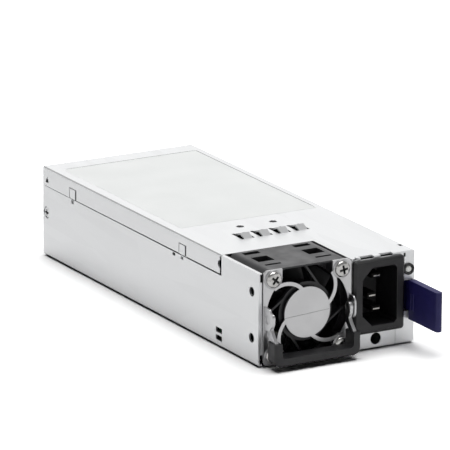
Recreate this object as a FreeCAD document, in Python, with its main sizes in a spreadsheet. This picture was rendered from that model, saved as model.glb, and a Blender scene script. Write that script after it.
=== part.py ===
import FreeCAD, Part
import math
import os
import re
import Sketcher

# Hot swap server power supply, 73.5 mm wide and 40 mm high, as a parametric document in millimetres.
# Frame: the origin is the centre of the base, +X is to the right seen from the front, +Y runs from the
# front (fan, inlet, handle) to the rear (card edge), and +Z is up.

DOC = FreeCAD.newDocument("HotSwapPowerSupply")
SHEET = DOC.addObject("Spreadsheet::Sheet", "Dims")

SIZES = {
    # case, folded from sheet steel
    "case_width": 73.5,
    "case_length": 185,
    "case_height": 39,
    "sheet_thick": 0.8,
    "seam_gap": 0.2,
    "cover_lap": 8.3,
    "lip_width": 1.6,
    "relief_width": 0.9,
    "relief_top": 4.6,
    "relief_deep": 1.6,
    "snap_rear_back": 158.5,
    "snap_front_back": 63.1,
    "snap_width": 5.2,
    "snap_height": 4.4,
    "snap_drop": 3.4,
    "snap_hidden": 1.4,
    "snap_notch": 1.6,
    "snap_notch_depth": 1.9,
    "small_notch_back": 69.9,
    "side_hole_radius": 2,
    "side_hole_back": 5.5,
    "side_hole_low": 10.7,
    "side_hole_pitch": 19.5,
    "side_slot_back": 32.1,
    "side_slot_length": 5.1,
    "side_slot_height": 2.2,
    "side_slot_low": 3.4,
    "side_slot_pitch": 3.3,
    "retainer_radius": 2.5,
    "retainer_height": 3.7,
    "retainer_shift": 0.5,
    "corner_joint": 8.7,
    "corner_joint_height": 6,
    # raised lances and holes of the cover
    "lance_count": 4,
    "lance_pitch": 8.7,
    "lance_left": 20.3,
    "lance_width": 4.3,
    "lance_back": 46.6,
    "lance_length": 10.4,
    "lance_rise": 1.8,
    "lance_ramp": 3.2,
    "lance_heel": 1.6,
    "lance_foot": 0.3,
    "lance_wall": 0.4,
    "cover_hole_radius": 1.6,
    "cover_hole_back": 63.5,
    "cover_hole_left": 27.8,
    "cover_hole_pitch": 15.7,
    "bite_radius": 1.7,
    "bite_height": 4.3,
    "notch_depth": 2,
    "notch_drop": 0.3,
    "left_notch_centre": -5,
    "left_notch_width": 6.3,
    "right_notch_centre": 4.2,
    "right_notch_width": 5.9,
    "vee_centre": 9.9,
    "vee_half": 1,
    "vee_depth": 1.8,
    "corner_slot_side": 1.95,
    "corner_slot_width": 1.5,
    "corner_slot_back": 8.2,
    "corner_slot_length": 2.4,
    "mark_back": 4.2,
    "mark_drop": 5.3,
    "mark_half": 1.1,
    "mark_length": 1.2,
    "bend_radius": 0.7,
    "label_width": 65,
    "label_length": 103,
    "label_thick": 0.15,
    "label_back": 124.5,
    "label_shift": 0.75,
    # fan bay, fan and guard
    "fan_size": 40,
    "fan_depth": 28,
    "fan_side_gap": 2.4,
    "fan_fit_gap": 0.3,
    "bay_side_gap": 1.1,
    "bay_rear_gap": 2.8,
    "fan_corner": 3,
    "fan_wall": 1,
    "fan_bore_radius": "=fan_size / 2 - fan_wall",
    "fan_ring_wall": 0.7,
    "fan_hole_edge": 4,
    "fan_hole_pitch": "=fan_size - 2 * fan_hole_edge",
    "fan_hole_radius": 2.15,
    "fan_hole_depth": 10,
    "mouth_wall": 0.7,
    "mouth_depth": 5,
    "recess_front": 6,
    "recess_thin": 1.6,
    "recess_middle": 11.8,
    "recess_wide": 6.8,
    "recess_rear": 2,
    "recess_deep": 3,
    "recess_edge": 4.5,
    "recess_length": 7.4,
    "recess_outer": "=fan_size / 2 - recess_edge",
    "recess_inner": "=recess_outer - recess_length",
    "motor_inset": 6.6,
    "motor_radius": "=fan_bore_radius - motor_inset",
    "motor_front": 1,
    "motor_plate": 2,
    "strut_thick": 0.9,
    "strut_inset": 0.9,
    "strut_turn": 35,
    "blade_room": 8.9,
    "hub_radius": "=fan_bore_radius - blade_room",
    "hub_wall": 1.1,
    "hub_floor": 1.5,
    "hub_gap": 0.6,
    "rotor_rear_gap": 2.5,
    "blade_count": 7,
    "blade_tip_gap": 0.6,
    "blade_thick": 1,
    "blade_skew": 5,
    "blade_twist": 1.3,
    "blade_camber": 1.2,
    "blade_front_gap": 0.8,
    "blade_rear_gap": 0.6,
    "blade_root": 3.2,
    "magnet_thick": 1.3,
    "magnet_gap": 2,
    "shaft_radius": 1.5,
    "shaft_clearance": 0.05,
    "bearing_radius": 3,
    "motor_air": 0.7,
    "stator_radius": "=hub_radius - hub_wall - magnet_thick - motor_air",
    "stator_gap": 3,
    "stator_slot": 1.6,
    "guard_thick": 0.8,
    "guard_over": 1.2,
    "guard_width": "=fan_size + guard_over",
    "guard_corner": 2,
    "guard_open_gap": 0.3,
    "guard_open_radius": "=fan_bore_radius + guard_open_gap",
    "guard_disc_inset": 8.3,
    "guard_disc_radius": "=fan_bore_radius - guard_disc_inset",
    "guard_strut_width": 1.6,
    "strut_radius_share": 0.539,
    "strut_side_share": 0.5155,
    "strut_rise_share": 0.145,
    "guard_strut_radius": "=guard_open_radius * strut_radius_share",
    "guard_strut_side": "=guard_open_radius * strut_side_share",
    "guard_strut_rise": "=guard_open_radius * strut_rise_share",
    "guard_strut_start": 40,
    "guard_strut_end": 122,
    "guard_tab": 8.2,
    "guard_gap_half": "=fan_size / 2 - guard_tab",
    "guard_screw_radius": 3.4,
    "guard_screw_head": 1.5,
    "guard_screw_flat": 2.3,
    "guard_screw_edge": 0.6,
    "guard_screw_length": 9,
    "guard_thread_radius": 2,
    "washer_radius": 4,
    "washer_thick": 0.4,
    # handle
    "ear_height": 9.6,
    "ear_depth": 5.2,
    "ear_corner": 3,
    "ear_gap": 0.15,
    "ear_inset": 0.85,
    "dimple_depth": 0.35,
    "pivot_height": 20.3,
    "pivot_front": 3.2,
    "pivot_radius": 1.4,
    "dimple_radius": 1.9,
    "pivot_clearance": 0.05,
    "arm_thick": 1.6,
    "arm_eye_radius": 2.25,
    "arm_front": 4.8,
    "arm_width": 4,
    "grip_over": 0.1,
    "grip_half_width": "=fan_size / 2 + grip_over",
    "grip_leg": 3.4,
    "grip_bar": 3.5,
    "grip_front": 3,
    "grip_depth": 7,
    "grip_bottom": 1.4,
    "grip_height": 9.8,
    "grip_corner": 3.2,
    "grip_round": 1.2,
    "arm_seat": 5,
    "arm_shoulder": 2.1,
    "arm_waist": 0.9,
    "arm_waist_top": 1.8,
    "arm_waist_middle": 4.2,
    "arm_waist_low": 6.2,
    # appliance inlet
    "inlet_bay_gap": 0.3,
    "inlet_height": 22.3,
    "inlet_flange_width": 24.2,
    "inlet_flange_height": 31.4,
    "inlet_proud": 2.2,
    "inlet_bevel": 1,
    "inlet_body_width": 20.4,
    "inlet_body_height": 28.6,
    "inlet_body_depth": 21,
    "cavity_width": 16.2,
    "cavity_height": 24.4,
    "cavity_depth": 16.5,
    "cavity_chamfer": 4.6,
    "cavity_corner": 1.2,
    "blade_pitch": 14,
    "earth_offset": 4,
    "inlet_blade_width": 4,
    "inlet_blade_thick": 2,
    "live_recess": 5.4,
    "earth_recess": 2.2,
    "blade_bevel": 0.5,
    "blade_terminal": 6,
    "inlet_corner": 1.5,
    "blade_shift": -0.4,
    "panel_clearance": 0.2,
    # indicator
    "led_from_right": 2.95,
    "led_height": 31.2,
    "led_ring_radius": 2.5,
    "led_ring_proud": 1,
    "led_lens_radius": 1.3,
    "led_hole_radius": 1.9,
    "led_depth": 4,
    "lens_dome": 0.65,
    "lens_flat": 0.7,
    "led_board_side": 3.5,
    "led_board_low": 3.2,
    "led_board_top": 1,
    "led_board_thick": 1,
    "led_board_gap": 0.3,
    # release lever and latch
    "lever_thick": 3,
    "lever_from_right": 0.1,
    "lever_reach": 22.9,
    "lever_height": 16.7,
    "lever_low": 9.9,
    "lever_gap": 0.7,
    "slot_low": 13.3,
    "slot_height": 13.1,
    "slot_from_right": 5.2,
    "latch_back": 46,
    "latch_arm_thick": 0.8,
    "latch_arm_low": 14.6,
    "latch_arm_height": 10.4,
    "latch_wall_gap": 0.4,
    "hook_back": 11,
    "hook_length": 5,
    "hook_height": 6,
    "hook_proud": 1.4,
    "hook_window_gap": 1,
    "latch_pin_radius": 1,
    "latch_pin_clearance": 0.05,
    "knuckle_radius": 1.9,
    "lever_round": 1.4,
    "neck_length": 7,
    "slot_gap": 0.4,
    "ridge_proud": 0.3,
    "ridge_width": 0.6,
    "ridge_back": 2.2,
    "ridge_pitch": 2,
    "ridge_low": 4.5,
    "ridge_height": 7,
    "arm_front_gap": 1.5,
    "groove_rear_gap": 1,
    "catch_flat": 1.5,
    "spring_height": 3,
    "bracket_gap": 0.2,
    "bracket_length": 9,
    # board and what stands on it
    "board_thick": 1.6,
    "standoff_height": 4.2,
    "standoff_across": 5,
    "board_screw_radius": 1.5,
    "board_screw_across": 5,
    "board_screw_height": 1.6,
    "board_screw_front": 5,
    "board_screw_side": 4,
    "board_side_gap": 2,
    "board_front_gap": 6,
    "board_rear_gap": 1.5,
    "edge_width": 50,
    "edge_reach": 9.5,
    "contact_count": 19,
    "contact_pitch": 2.54,
    "contact_width": 1.8,
    "contact_length": 7,
    "contact_thick": 0.1,
    "sheet_film": 0.4,
    "rear_flange": 7,
    "side_screw_rear": 2.9,
    "side_screw_height": 19.1,
    "side_screw_radius": 2.9,
    "side_screw_thread": 1.4,
    "vent_across": 3.6,
    "vent_pitch": 4.6,
    "vent_columns": 13,
    "vent_rows": 5,
    "vent_low": 15.5,
    "edge_window_gap": 1,
    "side_screw_length": 4,
    "part_gap": 0.05,
    # wound parts: place from the board's edges, outer and hole radius, height
    "choke_side": 14.75,
    "choke_back": 15,
    "choke_radius": 11,
    "choke_hole": 4,
    "choke_height": 7,
    "pfc_side": 14.75,
    "pfc_back": 42,
    "pfc_radius": 13.5,
    "pfc_hole": 4.5,
    "pfc_height": 9,
    "output_coil_side": 16.25,
    "output_coil_rear": 24,
    "output_coil_radius": 8.5,
    "output_coil_hole": 3.2,
    "output_coil_height": 15,
    "transformer_side": 10.75,
    "transformer_rear": 54,
    "core_width": 18,
    "core_length": 34,
    "core_height": 26,
    "core_leg": 5,
    "winding_over": 1,
    "winding_gap": 1,
    # boxed parts: width, length and height
    "x_box_centre": 6,
    "x_box_back": 8,
    "x_box_width": 16,
    "x_box_length": 8,
    "x_box_height": 14,
    "relay_centre": 6,
    "relay_back": 26,
    "relay_width": 15,
    "relay_length": 19,
    "relay_height": 15,
    "bridge_side": 13.75,
    "bridge_back": 32,
    "bridge_width": 4.6,
    "bridge_length": 22,
    "bridge_height": 18,
    "control_side": 5.95,
    "control_rear": 21,
    "control_length": 26,
    "control_height": 24,
    # round parts
    "disc_side": 12.85,
    "disc_back": 5,
    "disc_pitch": 7,
    "disc_radius": 3.5,
    "disc_thick": 3,
    "fuse_side": 6.25,
    "fuse_back": 12,
    "fuse_radius": 2.6,
    "fuse_length": 20,
    "bulk_side": 16.75,
    "bulk_back": 58,
    "bulk_rear": 46,
    "bulk_radius": 14.5,
    "can_side": 7,
    "can_rear": 13,
    "can_pitch": 12,
    "can_radius": 5,
    "can_height": 20,
    # heatsinks and the transistors on one of them
    "sink_height": 28,
    "sink_plate": 3,
    "sink_reach": 4,
    "fin_count": 5,
    "fin_thick": 1.2,
    "fin_low": 2,
    "primary_face": 8,
    "primary_back": 40,
    "primary_rear": 51.5,
    "secondary_face": -1,
    "secondary_back": 48,
    "secondary_rear": 12,
    "transistor_count": 3,
    "transistor_thick": 4.6,
    "transistor_width": 10,
    "transistor_height": 16,
    "transistor_low": 4,
    "transistor_back": 42,
    "transistor_pitch": 12,
}

for row, (name, size) in enumerate(SIZES.items(), start=1):
    SHEET.set(f"A{row}", name)
    SHEET.set(f"B{row}", str(size))
    SHEET.setAlias(f"B{row}", name)
DOC.recompute()

# Reference lines of the product, as expressions of the sheet's sizes
LEFT = "(-case_width / 2)"
RIGHT = "(case_width / 2)"
FRONT = "(-case_length / 2)"
REAR = "(case_length / 2)"
TOP = "case_height"
INNER_LEFT = f"({LEFT} + sheet_thick)"
INNER_RIGHT = f"({RIGHT} - sheet_thick)"
INNER_FRONT = f"({FRONT} + sheet_thick)"
INNER_REAR = f"({REAR} - sheet_thick)"
INNER_TOP = "(case_height - sheet_thick)"
SEAM = "(case_height - cover_lap)"
FAN_X = f"({LEFT} + fan_side_gap + fan_size / 2)"
FAN_Z = "(fan_size / 2)"
BAY_RIGHT = f"({FAN_X} + fan_size / 2 + bay_side_gap)"
BAY_REAR = f"({FRONT} + fan_depth + bay_rear_gap)"
MOTOR_REAR = "(motor_front + motor_plate)"
PIVOT_Y = f"({FRONT} - pivot_front)"
EAR_IN = "(grip_half_width - ear_inset)"
INLET_X = f"({BAY_RIGHT} + inlet_bay_gap + inlet_flange_width / 2)"
LED_X = f"({RIGHT} - led_from_right)"
SLOT_LEFT = f"({RIGHT} - slot_from_right)"
LEVER_Z = "(lever_low + lever_height / 2)"
LATCH_Y = f"({FRONT} + latch_back)"
LATCH_OUT = f"({INNER_RIGHT} - latch_wall_gap)"
LATCH_IN = f"({LATCH_OUT} - latch_arm_thick)"
LATCH_X = f"({LATCH_OUT} - knuckle_radius)"
HOOK_Y = f"({FRONT} + hook_back)"
BOARD_LOW = "(sheet_thick + standoff_height)"
BOARD_TOP = f"({BOARD_LOW} + board_thick)"
BOARD_FRONT = f"({FRONT} + fan_depth + board_front_gap)"
BOARD_REAR = f"({REAR} - board_rear_gap)"
BOARD_LEFT = f"({LEFT} + board_side_gap)"
BOARD_RIGHT = f"({RIGHT} - board_side_gap)"

NODES = []


def sheet_text(expression):
    """Point every size name in an expression at the sheet."""
    return re.sub(r"\b([a-z]+(?:_[a-z]+)+)\b", r"Dims.\1", expression)


def bind(thing, path, expression):
    """Tie a property to an expression of the sheet's sizes."""
    thing.setExpression(path, sheet_text(expression))


def number(expression):
    """The present value of an expression of the sheet's sizes."""
    return float(SHEET.evalExpression(sheet_text(expression)))


def node(thing, label):
    """Register a finished sub-part under its own name."""
    thing.Label = label
    NODES.append(thing)
    return thing


# ---------------------------------------------------------------- primitives and booleans


def block(x, y, z):
    """A block between two planes along each axis; each argument is (low, high)."""
    box = DOC.addObject("Part::Box", "Block")
    for side, length, (low, high) in zip("xyz", ("Length", "Width", "Height"), (x, y, z)):
        bind(box, f"Placement.Base.{side}", low)
        bind(box, length, f"({high}) - ({low})")
    return box


TURNS = {
    "X": FreeCAD.Rotation(FreeCAD.Vector(0, 1, 0), 90),
    "Y": FreeCAD.Rotation(FreeCAD.Vector(1, 0, 0), -90),
    "Z": FreeCAD.Rotation(),
}


def rod(axis, centre, radius, span):
    """A cylinder along X, Y or Z; centre is its place on the other two axes, span its (low, high)."""
    solid = DOC.addObject("Part::Cylinder", "Rod")
    solid.Placement.Rotation = TURNS[axis]
    across = [side for side in "xyz" if side != axis.lower()]
    bind(solid, f"Placement.Base.{axis.lower()}", span[0])
    for side, place in zip(across, centre):
        bind(solid, f"Placement.Base.{side}", place)
    bind(solid, "Radius", radius)
    bind(solid, "Height", f"({span[1]}) - ({span[0]})")
    return solid


def joined(parts):
    """One solid, or one group of solids, from several."""
    whole = DOC.addObject("Part::MultiFuse", "Joined")
    whole.Shapes = parts
    whole.Refine = True
    return whole


def cut(base, tools):
    """The base with every tool taken away."""
    result = DOC.addObject("Part::Cut", "Cut")
    result.Base = base
    result.Tool = tools[0] if len(tools) == 1 else joined(tools)
    result.Refine = True
    return result


def tube(axis, centre, outer, inner, span):
    """A round wall between two radii."""
    return cut(rod(axis, centre, outer, span), [rod(axis, centre, inner, span)])


# ---------------------------------------------------------------- bodies with sketches


def new_body(label, at=("0", "0", "0")):
    """A PartDesign body with its own placement."""
    body = DOC.addObject("PartDesign::Body", label)
    for side, place in zip("xyz", at):
        bind(body, f"Placement.Base.{side}", place)
    return node(body, label)


def polygon(*points):
    return ("polygon", points)


def band(centre, radius, width, start, end):
    """A curved strip around a centre, between two angles in degrees."""
    return ("band", centre, radius, width, start, end)


def rectangle(u, v):
    """A rectangle between (low, high) along each sketch axis."""
    return polygon((u[0], v[0]), (u[1], v[0]), (u[1], v[1]), (u[0], v[1]))


def circle(centre, radius):
    return ("circle", centre, radius)


def held(sketch, kind, geometry, vertex, expression):
    """Hold a sketch vertex at a distance from the origin, tied to the sheet."""
    value = number(expression)
    index = sketch.addConstraint(Sketcher.Constraint(kind, -1, 1, geometry, vertex, value))
    bind(sketch, f"Constraints[{index}]", expression)


def draw_polygon(sketch, points):
    first = sketch.GeometryCount
    corners = [FreeCAD.Vector(number(u), number(v), 0) for u, v in points]
    count = len(corners)
    for index, corner in enumerate(corners):
        sketch.addGeometry(Part.LineSegment(corner, corners[(index + 1) % count]), False)
    for index in range(count):
        after = first + (index + 1) % count
        sketch.addConstraint(Sketcher.Constraint("Coincident", first + index, 2, after, 1))
    for index, (u, v) in enumerate(points):
        held(sketch, "DistanceX", first + index, 1, u)
        held(sketch, "DistanceY", first + index, 1, v)


def draw_circle(sketch, centre, radius):
    middle = FreeCAD.Vector(number(centre[0]), number(centre[1]), 0)
    normal = FreeCAD.Vector(0, 0, 1)
    index = sketch.addGeometry(Part.Circle(middle, normal, number(radius)), False)
    held(sketch, "DistanceX", index, 3, centre[0])
    held(sketch, "DistanceY", index, 3, centre[1])
    size = sketch.addConstraint(Sketcher.Constraint("Radius", index, number(radius)))
    bind(sketch, f"Constraints[{size}]", radius)


def draw_band(sketch, centre, radius, width, start, end):
    middle = FreeCAD.Vector(number(centre[0]), number(centre[1]), 0)
    turns = [math.radians(number(angle)) for angle in (start, end)]
    radii = [f"{radius} - {width} / 2", f"{radius} + {width} / 2"]
    arcs = []
    for size in radii:
        ring = Part.Circle(middle, FreeCAD.Vector(0, 0, 1), number(size))
        arc = sketch.addGeometry(Part.ArcOfCircle(ring, *turns), False)
        held(sketch, "DistanceX", arc, 3, centre[0])
        held(sketch, "DistanceY", arc, 3, centre[1])
        index = sketch.addConstraint(Sketcher.Constraint("Radius", arc, number(size)))
        bind(sketch, f"Constraints[{index}]", size)
        arcs.append(arc)
    for vertex, angle, turn in zip((1, 2), (start, end), turns):
        points = [sketch.getPoint(arc, vertex) for arc in arcs]
        line = sketch.addGeometry(Part.LineSegment(*points), False)
        sketch.addConstraint(Sketcher.Constraint("Coincident", line, 1, arcs[0], vertex))
        sketch.addConstraint(Sketcher.Constraint("Coincident", line, 2, arcs[1], vertex))
        sketch.addConstraint(Sketcher.Constraint("PointOnObject", arcs[0], 3, line))
        index = sketch.addConstraint(Sketcher.Constraint("Angle", line, turn))
        bind(sketch, f"Constraints[{index}]", f"({angle}) * 1 deg")


DRAW = {"polygon": draw_polygon, "circle": draw_circle, "band": draw_band}


def sketch_on(body, plane, offset, loops):
    """A sketch on one of the body's own planes, moved along that plane's normal."""
    sketch = body.newObject("Sketcher::SketchObject", f"{body.Name}Sketch")
    origin_planes = {feature.Role: feature for feature in body.Origin.OriginFeatures}
    sketch.AttachmentSupport = [(origin_planes[f"{plane}_Plane"], "")]
    sketch.MapMode = "FlatFace"
    bind(sketch, "AttachmentOffset.Base.z", offset)
    for loop in loops:
        DRAW[loop[0]](sketch, *loop[1:])
    return sketch


def pad(body, plane, loops, span):
    """Add an extruded outline between two places on the plane's axis (the XZ plane faces -Y)."""
    low, high = span
    start = f"-({high})" if plane == "XZ" else low
    feature = body.newObject("PartDesign::Pad", f"{body.Name}Pad")
    feature.Profile = sketch_on(body, plane, start, loops)
    bind(feature, "Length", f"({high}) - ({low})")
    body.Tip = feature
    return feature


def pocket(body, plane, loops, span):
    """Cut an extruded outline between two places on the plane's axis."""
    low, high = span
    start = f"-({low})" if plane == "XZ" else high
    feature = body.newObject("PartDesign::Pocket", f"{body.Name}Pocket")
    feature.Profile = sketch_on(body, plane, start, loops)
    bind(feature, "Length", f"({high}) - ({low})")
    body.Tip = feature
    return feature


def repeated(body, feature, axis, pitch, count, second=None):
    """Repeat a feature along one or two of the body's own axes; second is (axis, pitch, count)."""
    axes = {line.Role: line for line in body.Origin.OriginFeatures}
    pattern = body.newObject("PartDesign::LinearPattern", f"{body.Name}Pattern")
    pattern.Originals = [feature]
    pattern.Direction = (axes[f"{axis}_Axis"], [""])
    pattern.Mode = "Spacing"
    bind(pattern, "Offset", pitch)
    bind(pattern, "Occurrences", count)
    if second:
        pattern.Direction2 = (axes[f"{second[0]}_Axis"], [""])
        pattern.Mode2 = "Spacing"
        bind(pattern, "Offset2", second[1])
        bind(pattern, "Occurrences2", second[2])
    body.Tip = pattern
    return pattern


def near(one, other):
    """Whether two lengths agree."""
    return abs(one - other) < 0.001


def runs(edge, axis):
    """Whether an edge is straight along an axis."""
    box = edge.BoundBox
    spread = {"X": box.XLength, "Y": box.YLength, "Z": box.ZLength}
    return all(near(length, 0) == (side != axis) for side, length in spread.items())


def lies(edge, axis, *places):
    """Whether an edge lies wholly in a plane across an axis, at one of the places."""
    low, high = getattr(edge.BoundBox, f"{axis}Min"), getattr(edge.BoundBox, f"{axis}Max")
    return any(near(low, number(place)) and near(high, number(place)) for place in places)


def edges_where(shape, test):
    """Names of the edges that pass a test."""
    return [f"Edge{index}" for index, edge in enumerate(shape.Edges, start=1) if test(edge)]


def dress(body, kind, size, test):
    """Fillet or chamfer the edges of the body's tip that pass a test."""
    DOC.recompute()
    base = body.Tip
    feature = body.newObject(f"PartDesign::{kind}", f"{body.Name}{kind}")
    feature.Base = (base, edges_where(base.Shape, test))
    bind(feature, "Radius" if kind == "Fillet" else "Size", size)
    body.Tip = feature
    return feature


# ---------------------------------------------------------------- case


def snap_places():
    """Where the two snap tongues stand, as (front, rear) along Y."""
    for back in ("snap_front_back", "snap_rear_back"):
        middle = f"{FRONT} + {back}"
        yield f"{middle} - snap_width / 2", f"{middle} + snap_width / 2"


def make_chassis():
    """Folded tray: floor, two walls, front wall, fan bay opening and snap tongues."""
    tray = new_body("chassis")
    pad(tray, "XZ", [rectangle((LEFT, RIGHT), ("0", SEAM))], (FRONT, REAR))
    pad(tray, "XZ", [rectangle((LEFT, RIGHT), (f"{SEAM} - sheet_thick", TOP))], (FRONT, BAY_REAR))
    hollow = rectangle((INNER_LEFT, INNER_RIGHT), ("sheet_thick", f"{TOP} + sheet_thick"))
    pocket(tray, "XZ", [hollow], (INNER_FRONT, f"{REAR} + sheet_thick"))
    # the right wall steps down to the seam along its whole length, behind the front wall
    step = rectangle((INNER_RIGHT, f"{RIGHT} + sheet_thick"), (f"{SEAM}", f"{TOP} + sheet_thick"))
    pocket(tray, "XZ", [step], (INNER_FRONT, f"{BAY_REAR} + sheet_thick"))
    # the front is open over the fan, but for a lip along the left wall
    mouth = rectangle((f"{LEFT} + lip_width", BAY_RIGHT), ("-sheet_thick", f"{TOP} + sheet_thick"))
    pocket(tray, "XZ", [mouth], (f"{FRONT} - sheet_thick", INNER_FRONT))
    # the front wall stops under the cover's top sheet
    under = rectangle((BAY_RIGHT, f"{RIGHT} + sheet_thick"), (INNER_TOP, f"{TOP} + sheet_thick"))
    pocket(tray, "XZ", [under], (f"{FRONT} - sheet_thick", INNER_FRONT))
    # in-turned flange along the top of the left wall, beside the fan
    flange = rectangle((LEFT, f"{LEFT} + lip_width"), (FRONT, f"{BAY_REAR} - seam_gap"))
    pad(tray, "XY", [flange], (INNER_TOP, TOP))
    # the fan drops through the floor until it is flush with the base
    well_x = (f"{LEFT} + fan_side_gap - fan_fit_gap", f"{FAN_X} + fan_size / 2 + fan_fit_gap")
    well = rectangle(well_x, (f"{FRONT} - sheet_thick", f"{FRONT} + fan_depth + fan_fit_gap"))
    pocket(tray, "XY", [well], ("-sheet_thick", "2 * sheet_thick"))
    # bend reliefs of the front lip
    across = (f"{LEFT} + lip_width - relief_width", f"{LEFT} + 2 * lip_width")
    reliefs = [rectangle(across, ("sheet_thick", "relief_top")),
               rectangle(across, (f"{TOP} - relief_top + sheet_thick", f"{TOP} - sheet_thick / 2"))]
    pocket(tray, "XZ", reliefs, (f"{FRONT} - sheet_thick", INNER_FRONT))
    # snap tongues: strips inside both walls, each with a raised pad that fills the cover's slot
    strips, knobs, notches = [], [], []
    for front, rear in snap_places():
        strips.append(rectangle((INNER_LEFT, f"{INNER_LEFT} + sheet_thick"), (front, rear)))
        strips.append(rectangle((f"{INNER_RIGHT} - sheet_thick", INNER_RIGHT), (front, rear)))
        inset = (f"{front} + seam_gap", f"{rear} - seam_gap")
        knobs.append(rectangle((LEFT, INNER_LEFT), inset))
        knobs.append(rectangle((INNER_RIGHT, RIGHT), inset))
        middle = f"({front} + {rear}) / 2"
        notches.append(rectangle((f"{middle} - snap_notch / 2", f"{middle} + snap_notch / 2"),
                                 (f"{SEAM} - snap_notch_depth", f"{SEAM} - seam_gap")))
    middle = f"{FRONT} + small_notch_back"
    notches.append(rectangle((f"{middle} - snap_notch / 2", f"{middle} + snap_notch / 2"),
                             (f"{SEAM} - snap_notch_depth", f"{SEAM} - seam_gap")))
    pad(tray, "XY", strips, (f"{SEAM} - snap_drop", f"{SEAM} + snap_height + snap_hidden"))
    pad(tray, "XY", knobs, (f"{SEAM} + seam_gap", f"{SEAM} + snap_height"))
    through = (f"{LEFT} - sheet_thick", f"{RIGHT} + sheet_thick")
    pocket(tray, "YZ", notches, through)
    # round holes and slots near the front of the left wall
    openings = [circle((f"{FRONT} + side_hole_back", f"side_hole_low + {step} * side_hole_pitch"),
                       "side_hole_radius") for step in (0, 1)]
    for step in (0, 1):
        low = f"side_slot_low + {step} * side_slot_pitch - side_slot_height / 2"
        middle = f"{FRONT} + side_slot_back"
        openings.append(rectangle((f"{middle} - side_slot_length / 2", f"{middle} + side_slot_length / 2"),
                                  (low, f"{low} + side_slot_height")))
    pocket(tray, "YZ", openings, (f"{LEFT} - sheet_thick", INNER_LEFT))
    # window for the latch hook in the right wall
    reach = "(hook_length / 2 + hook_window_gap)"
    tall = "(hook_height / 2 + hook_window_gap)"
    hook = rectangle((f"{HOOK_Y} - {reach}", f"{HOOK_Y} + {reach}"),
                     (f"{LEVER_Z} - {tall}", f"{LEVER_Z} + {tall}"))
    pocket(tray, "YZ", [hook], (INNER_RIGHT, f"{RIGHT} + sheet_thick"))
    # front wall: inlet cut-out, lever slot, indicator hole, cord retainer hole and a bend relief
    wide = "(inlet_body_width / 2 + panel_clearance)"
    tall = "(inlet_body_height / 2 + panel_clearance)"
    inlet = rectangle((f"{INLET_X} - {wide}", f"{INLET_X} + {wide}"),
                      (f"inlet_height - {tall}", f"inlet_height + {tall}"))
    slot = rectangle((SLOT_LEFT, INNER_RIGHT), ("slot_low", "slot_low + slot_height"))
    led = circle((LED_X, "led_height"), "led_hole_radius + panel_clearance")
    retainer = circle((f"{INLET_X} - retainer_shift", "retainer_height"), "retainer_radius")
    relief = rectangle((SLOT_LEFT, f"{SLOT_LEFT} + relief_width"), (f"{INNER_TOP} - relief_deep", TOP))
    notches = [rectangle(span, (f"{INNER_TOP} - notch_drop", TOP)) for span in notch_spans()]
    joint = f"{RIGHT} - corner_joint"
    slit = rectangle((f"{joint} - seam_gap", joint), ("-sheet_thick", "corner_joint_height"))
    through_wall = [inlet, slot, led, retainer, relief, slit, *notches]
    pocket(tray, "XZ", through_wall, (f"{FRONT} - sheet_thick", INNER_FRONT))
    # holes of the side screws
    screw = circle((f"{REAR} - side_screw_rear", "side_screw_height"), "side_screw_radius + part_gap")
    pocket(tray, "YZ", [screw], through)
    # bend radii along the bottom of both walls
    dress(tray, "Fillet", "bend_radius",
          lambda edge: runs(edge, "Y") and lies(edge, "Z", "0") and lies(edge, "X", LEFT, RIGHT))


def notch_spans():
    """Left and right ends of the two notches over the inlet, in the lid and the wall below it."""
    for side in ("left", "right"):
        centre = f"{INLET_X} + {side}_notch_centre"
        yield f"{centre} - {side}_notch_width / 2", f"{centre} + {side}_notch_width / 2"


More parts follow.
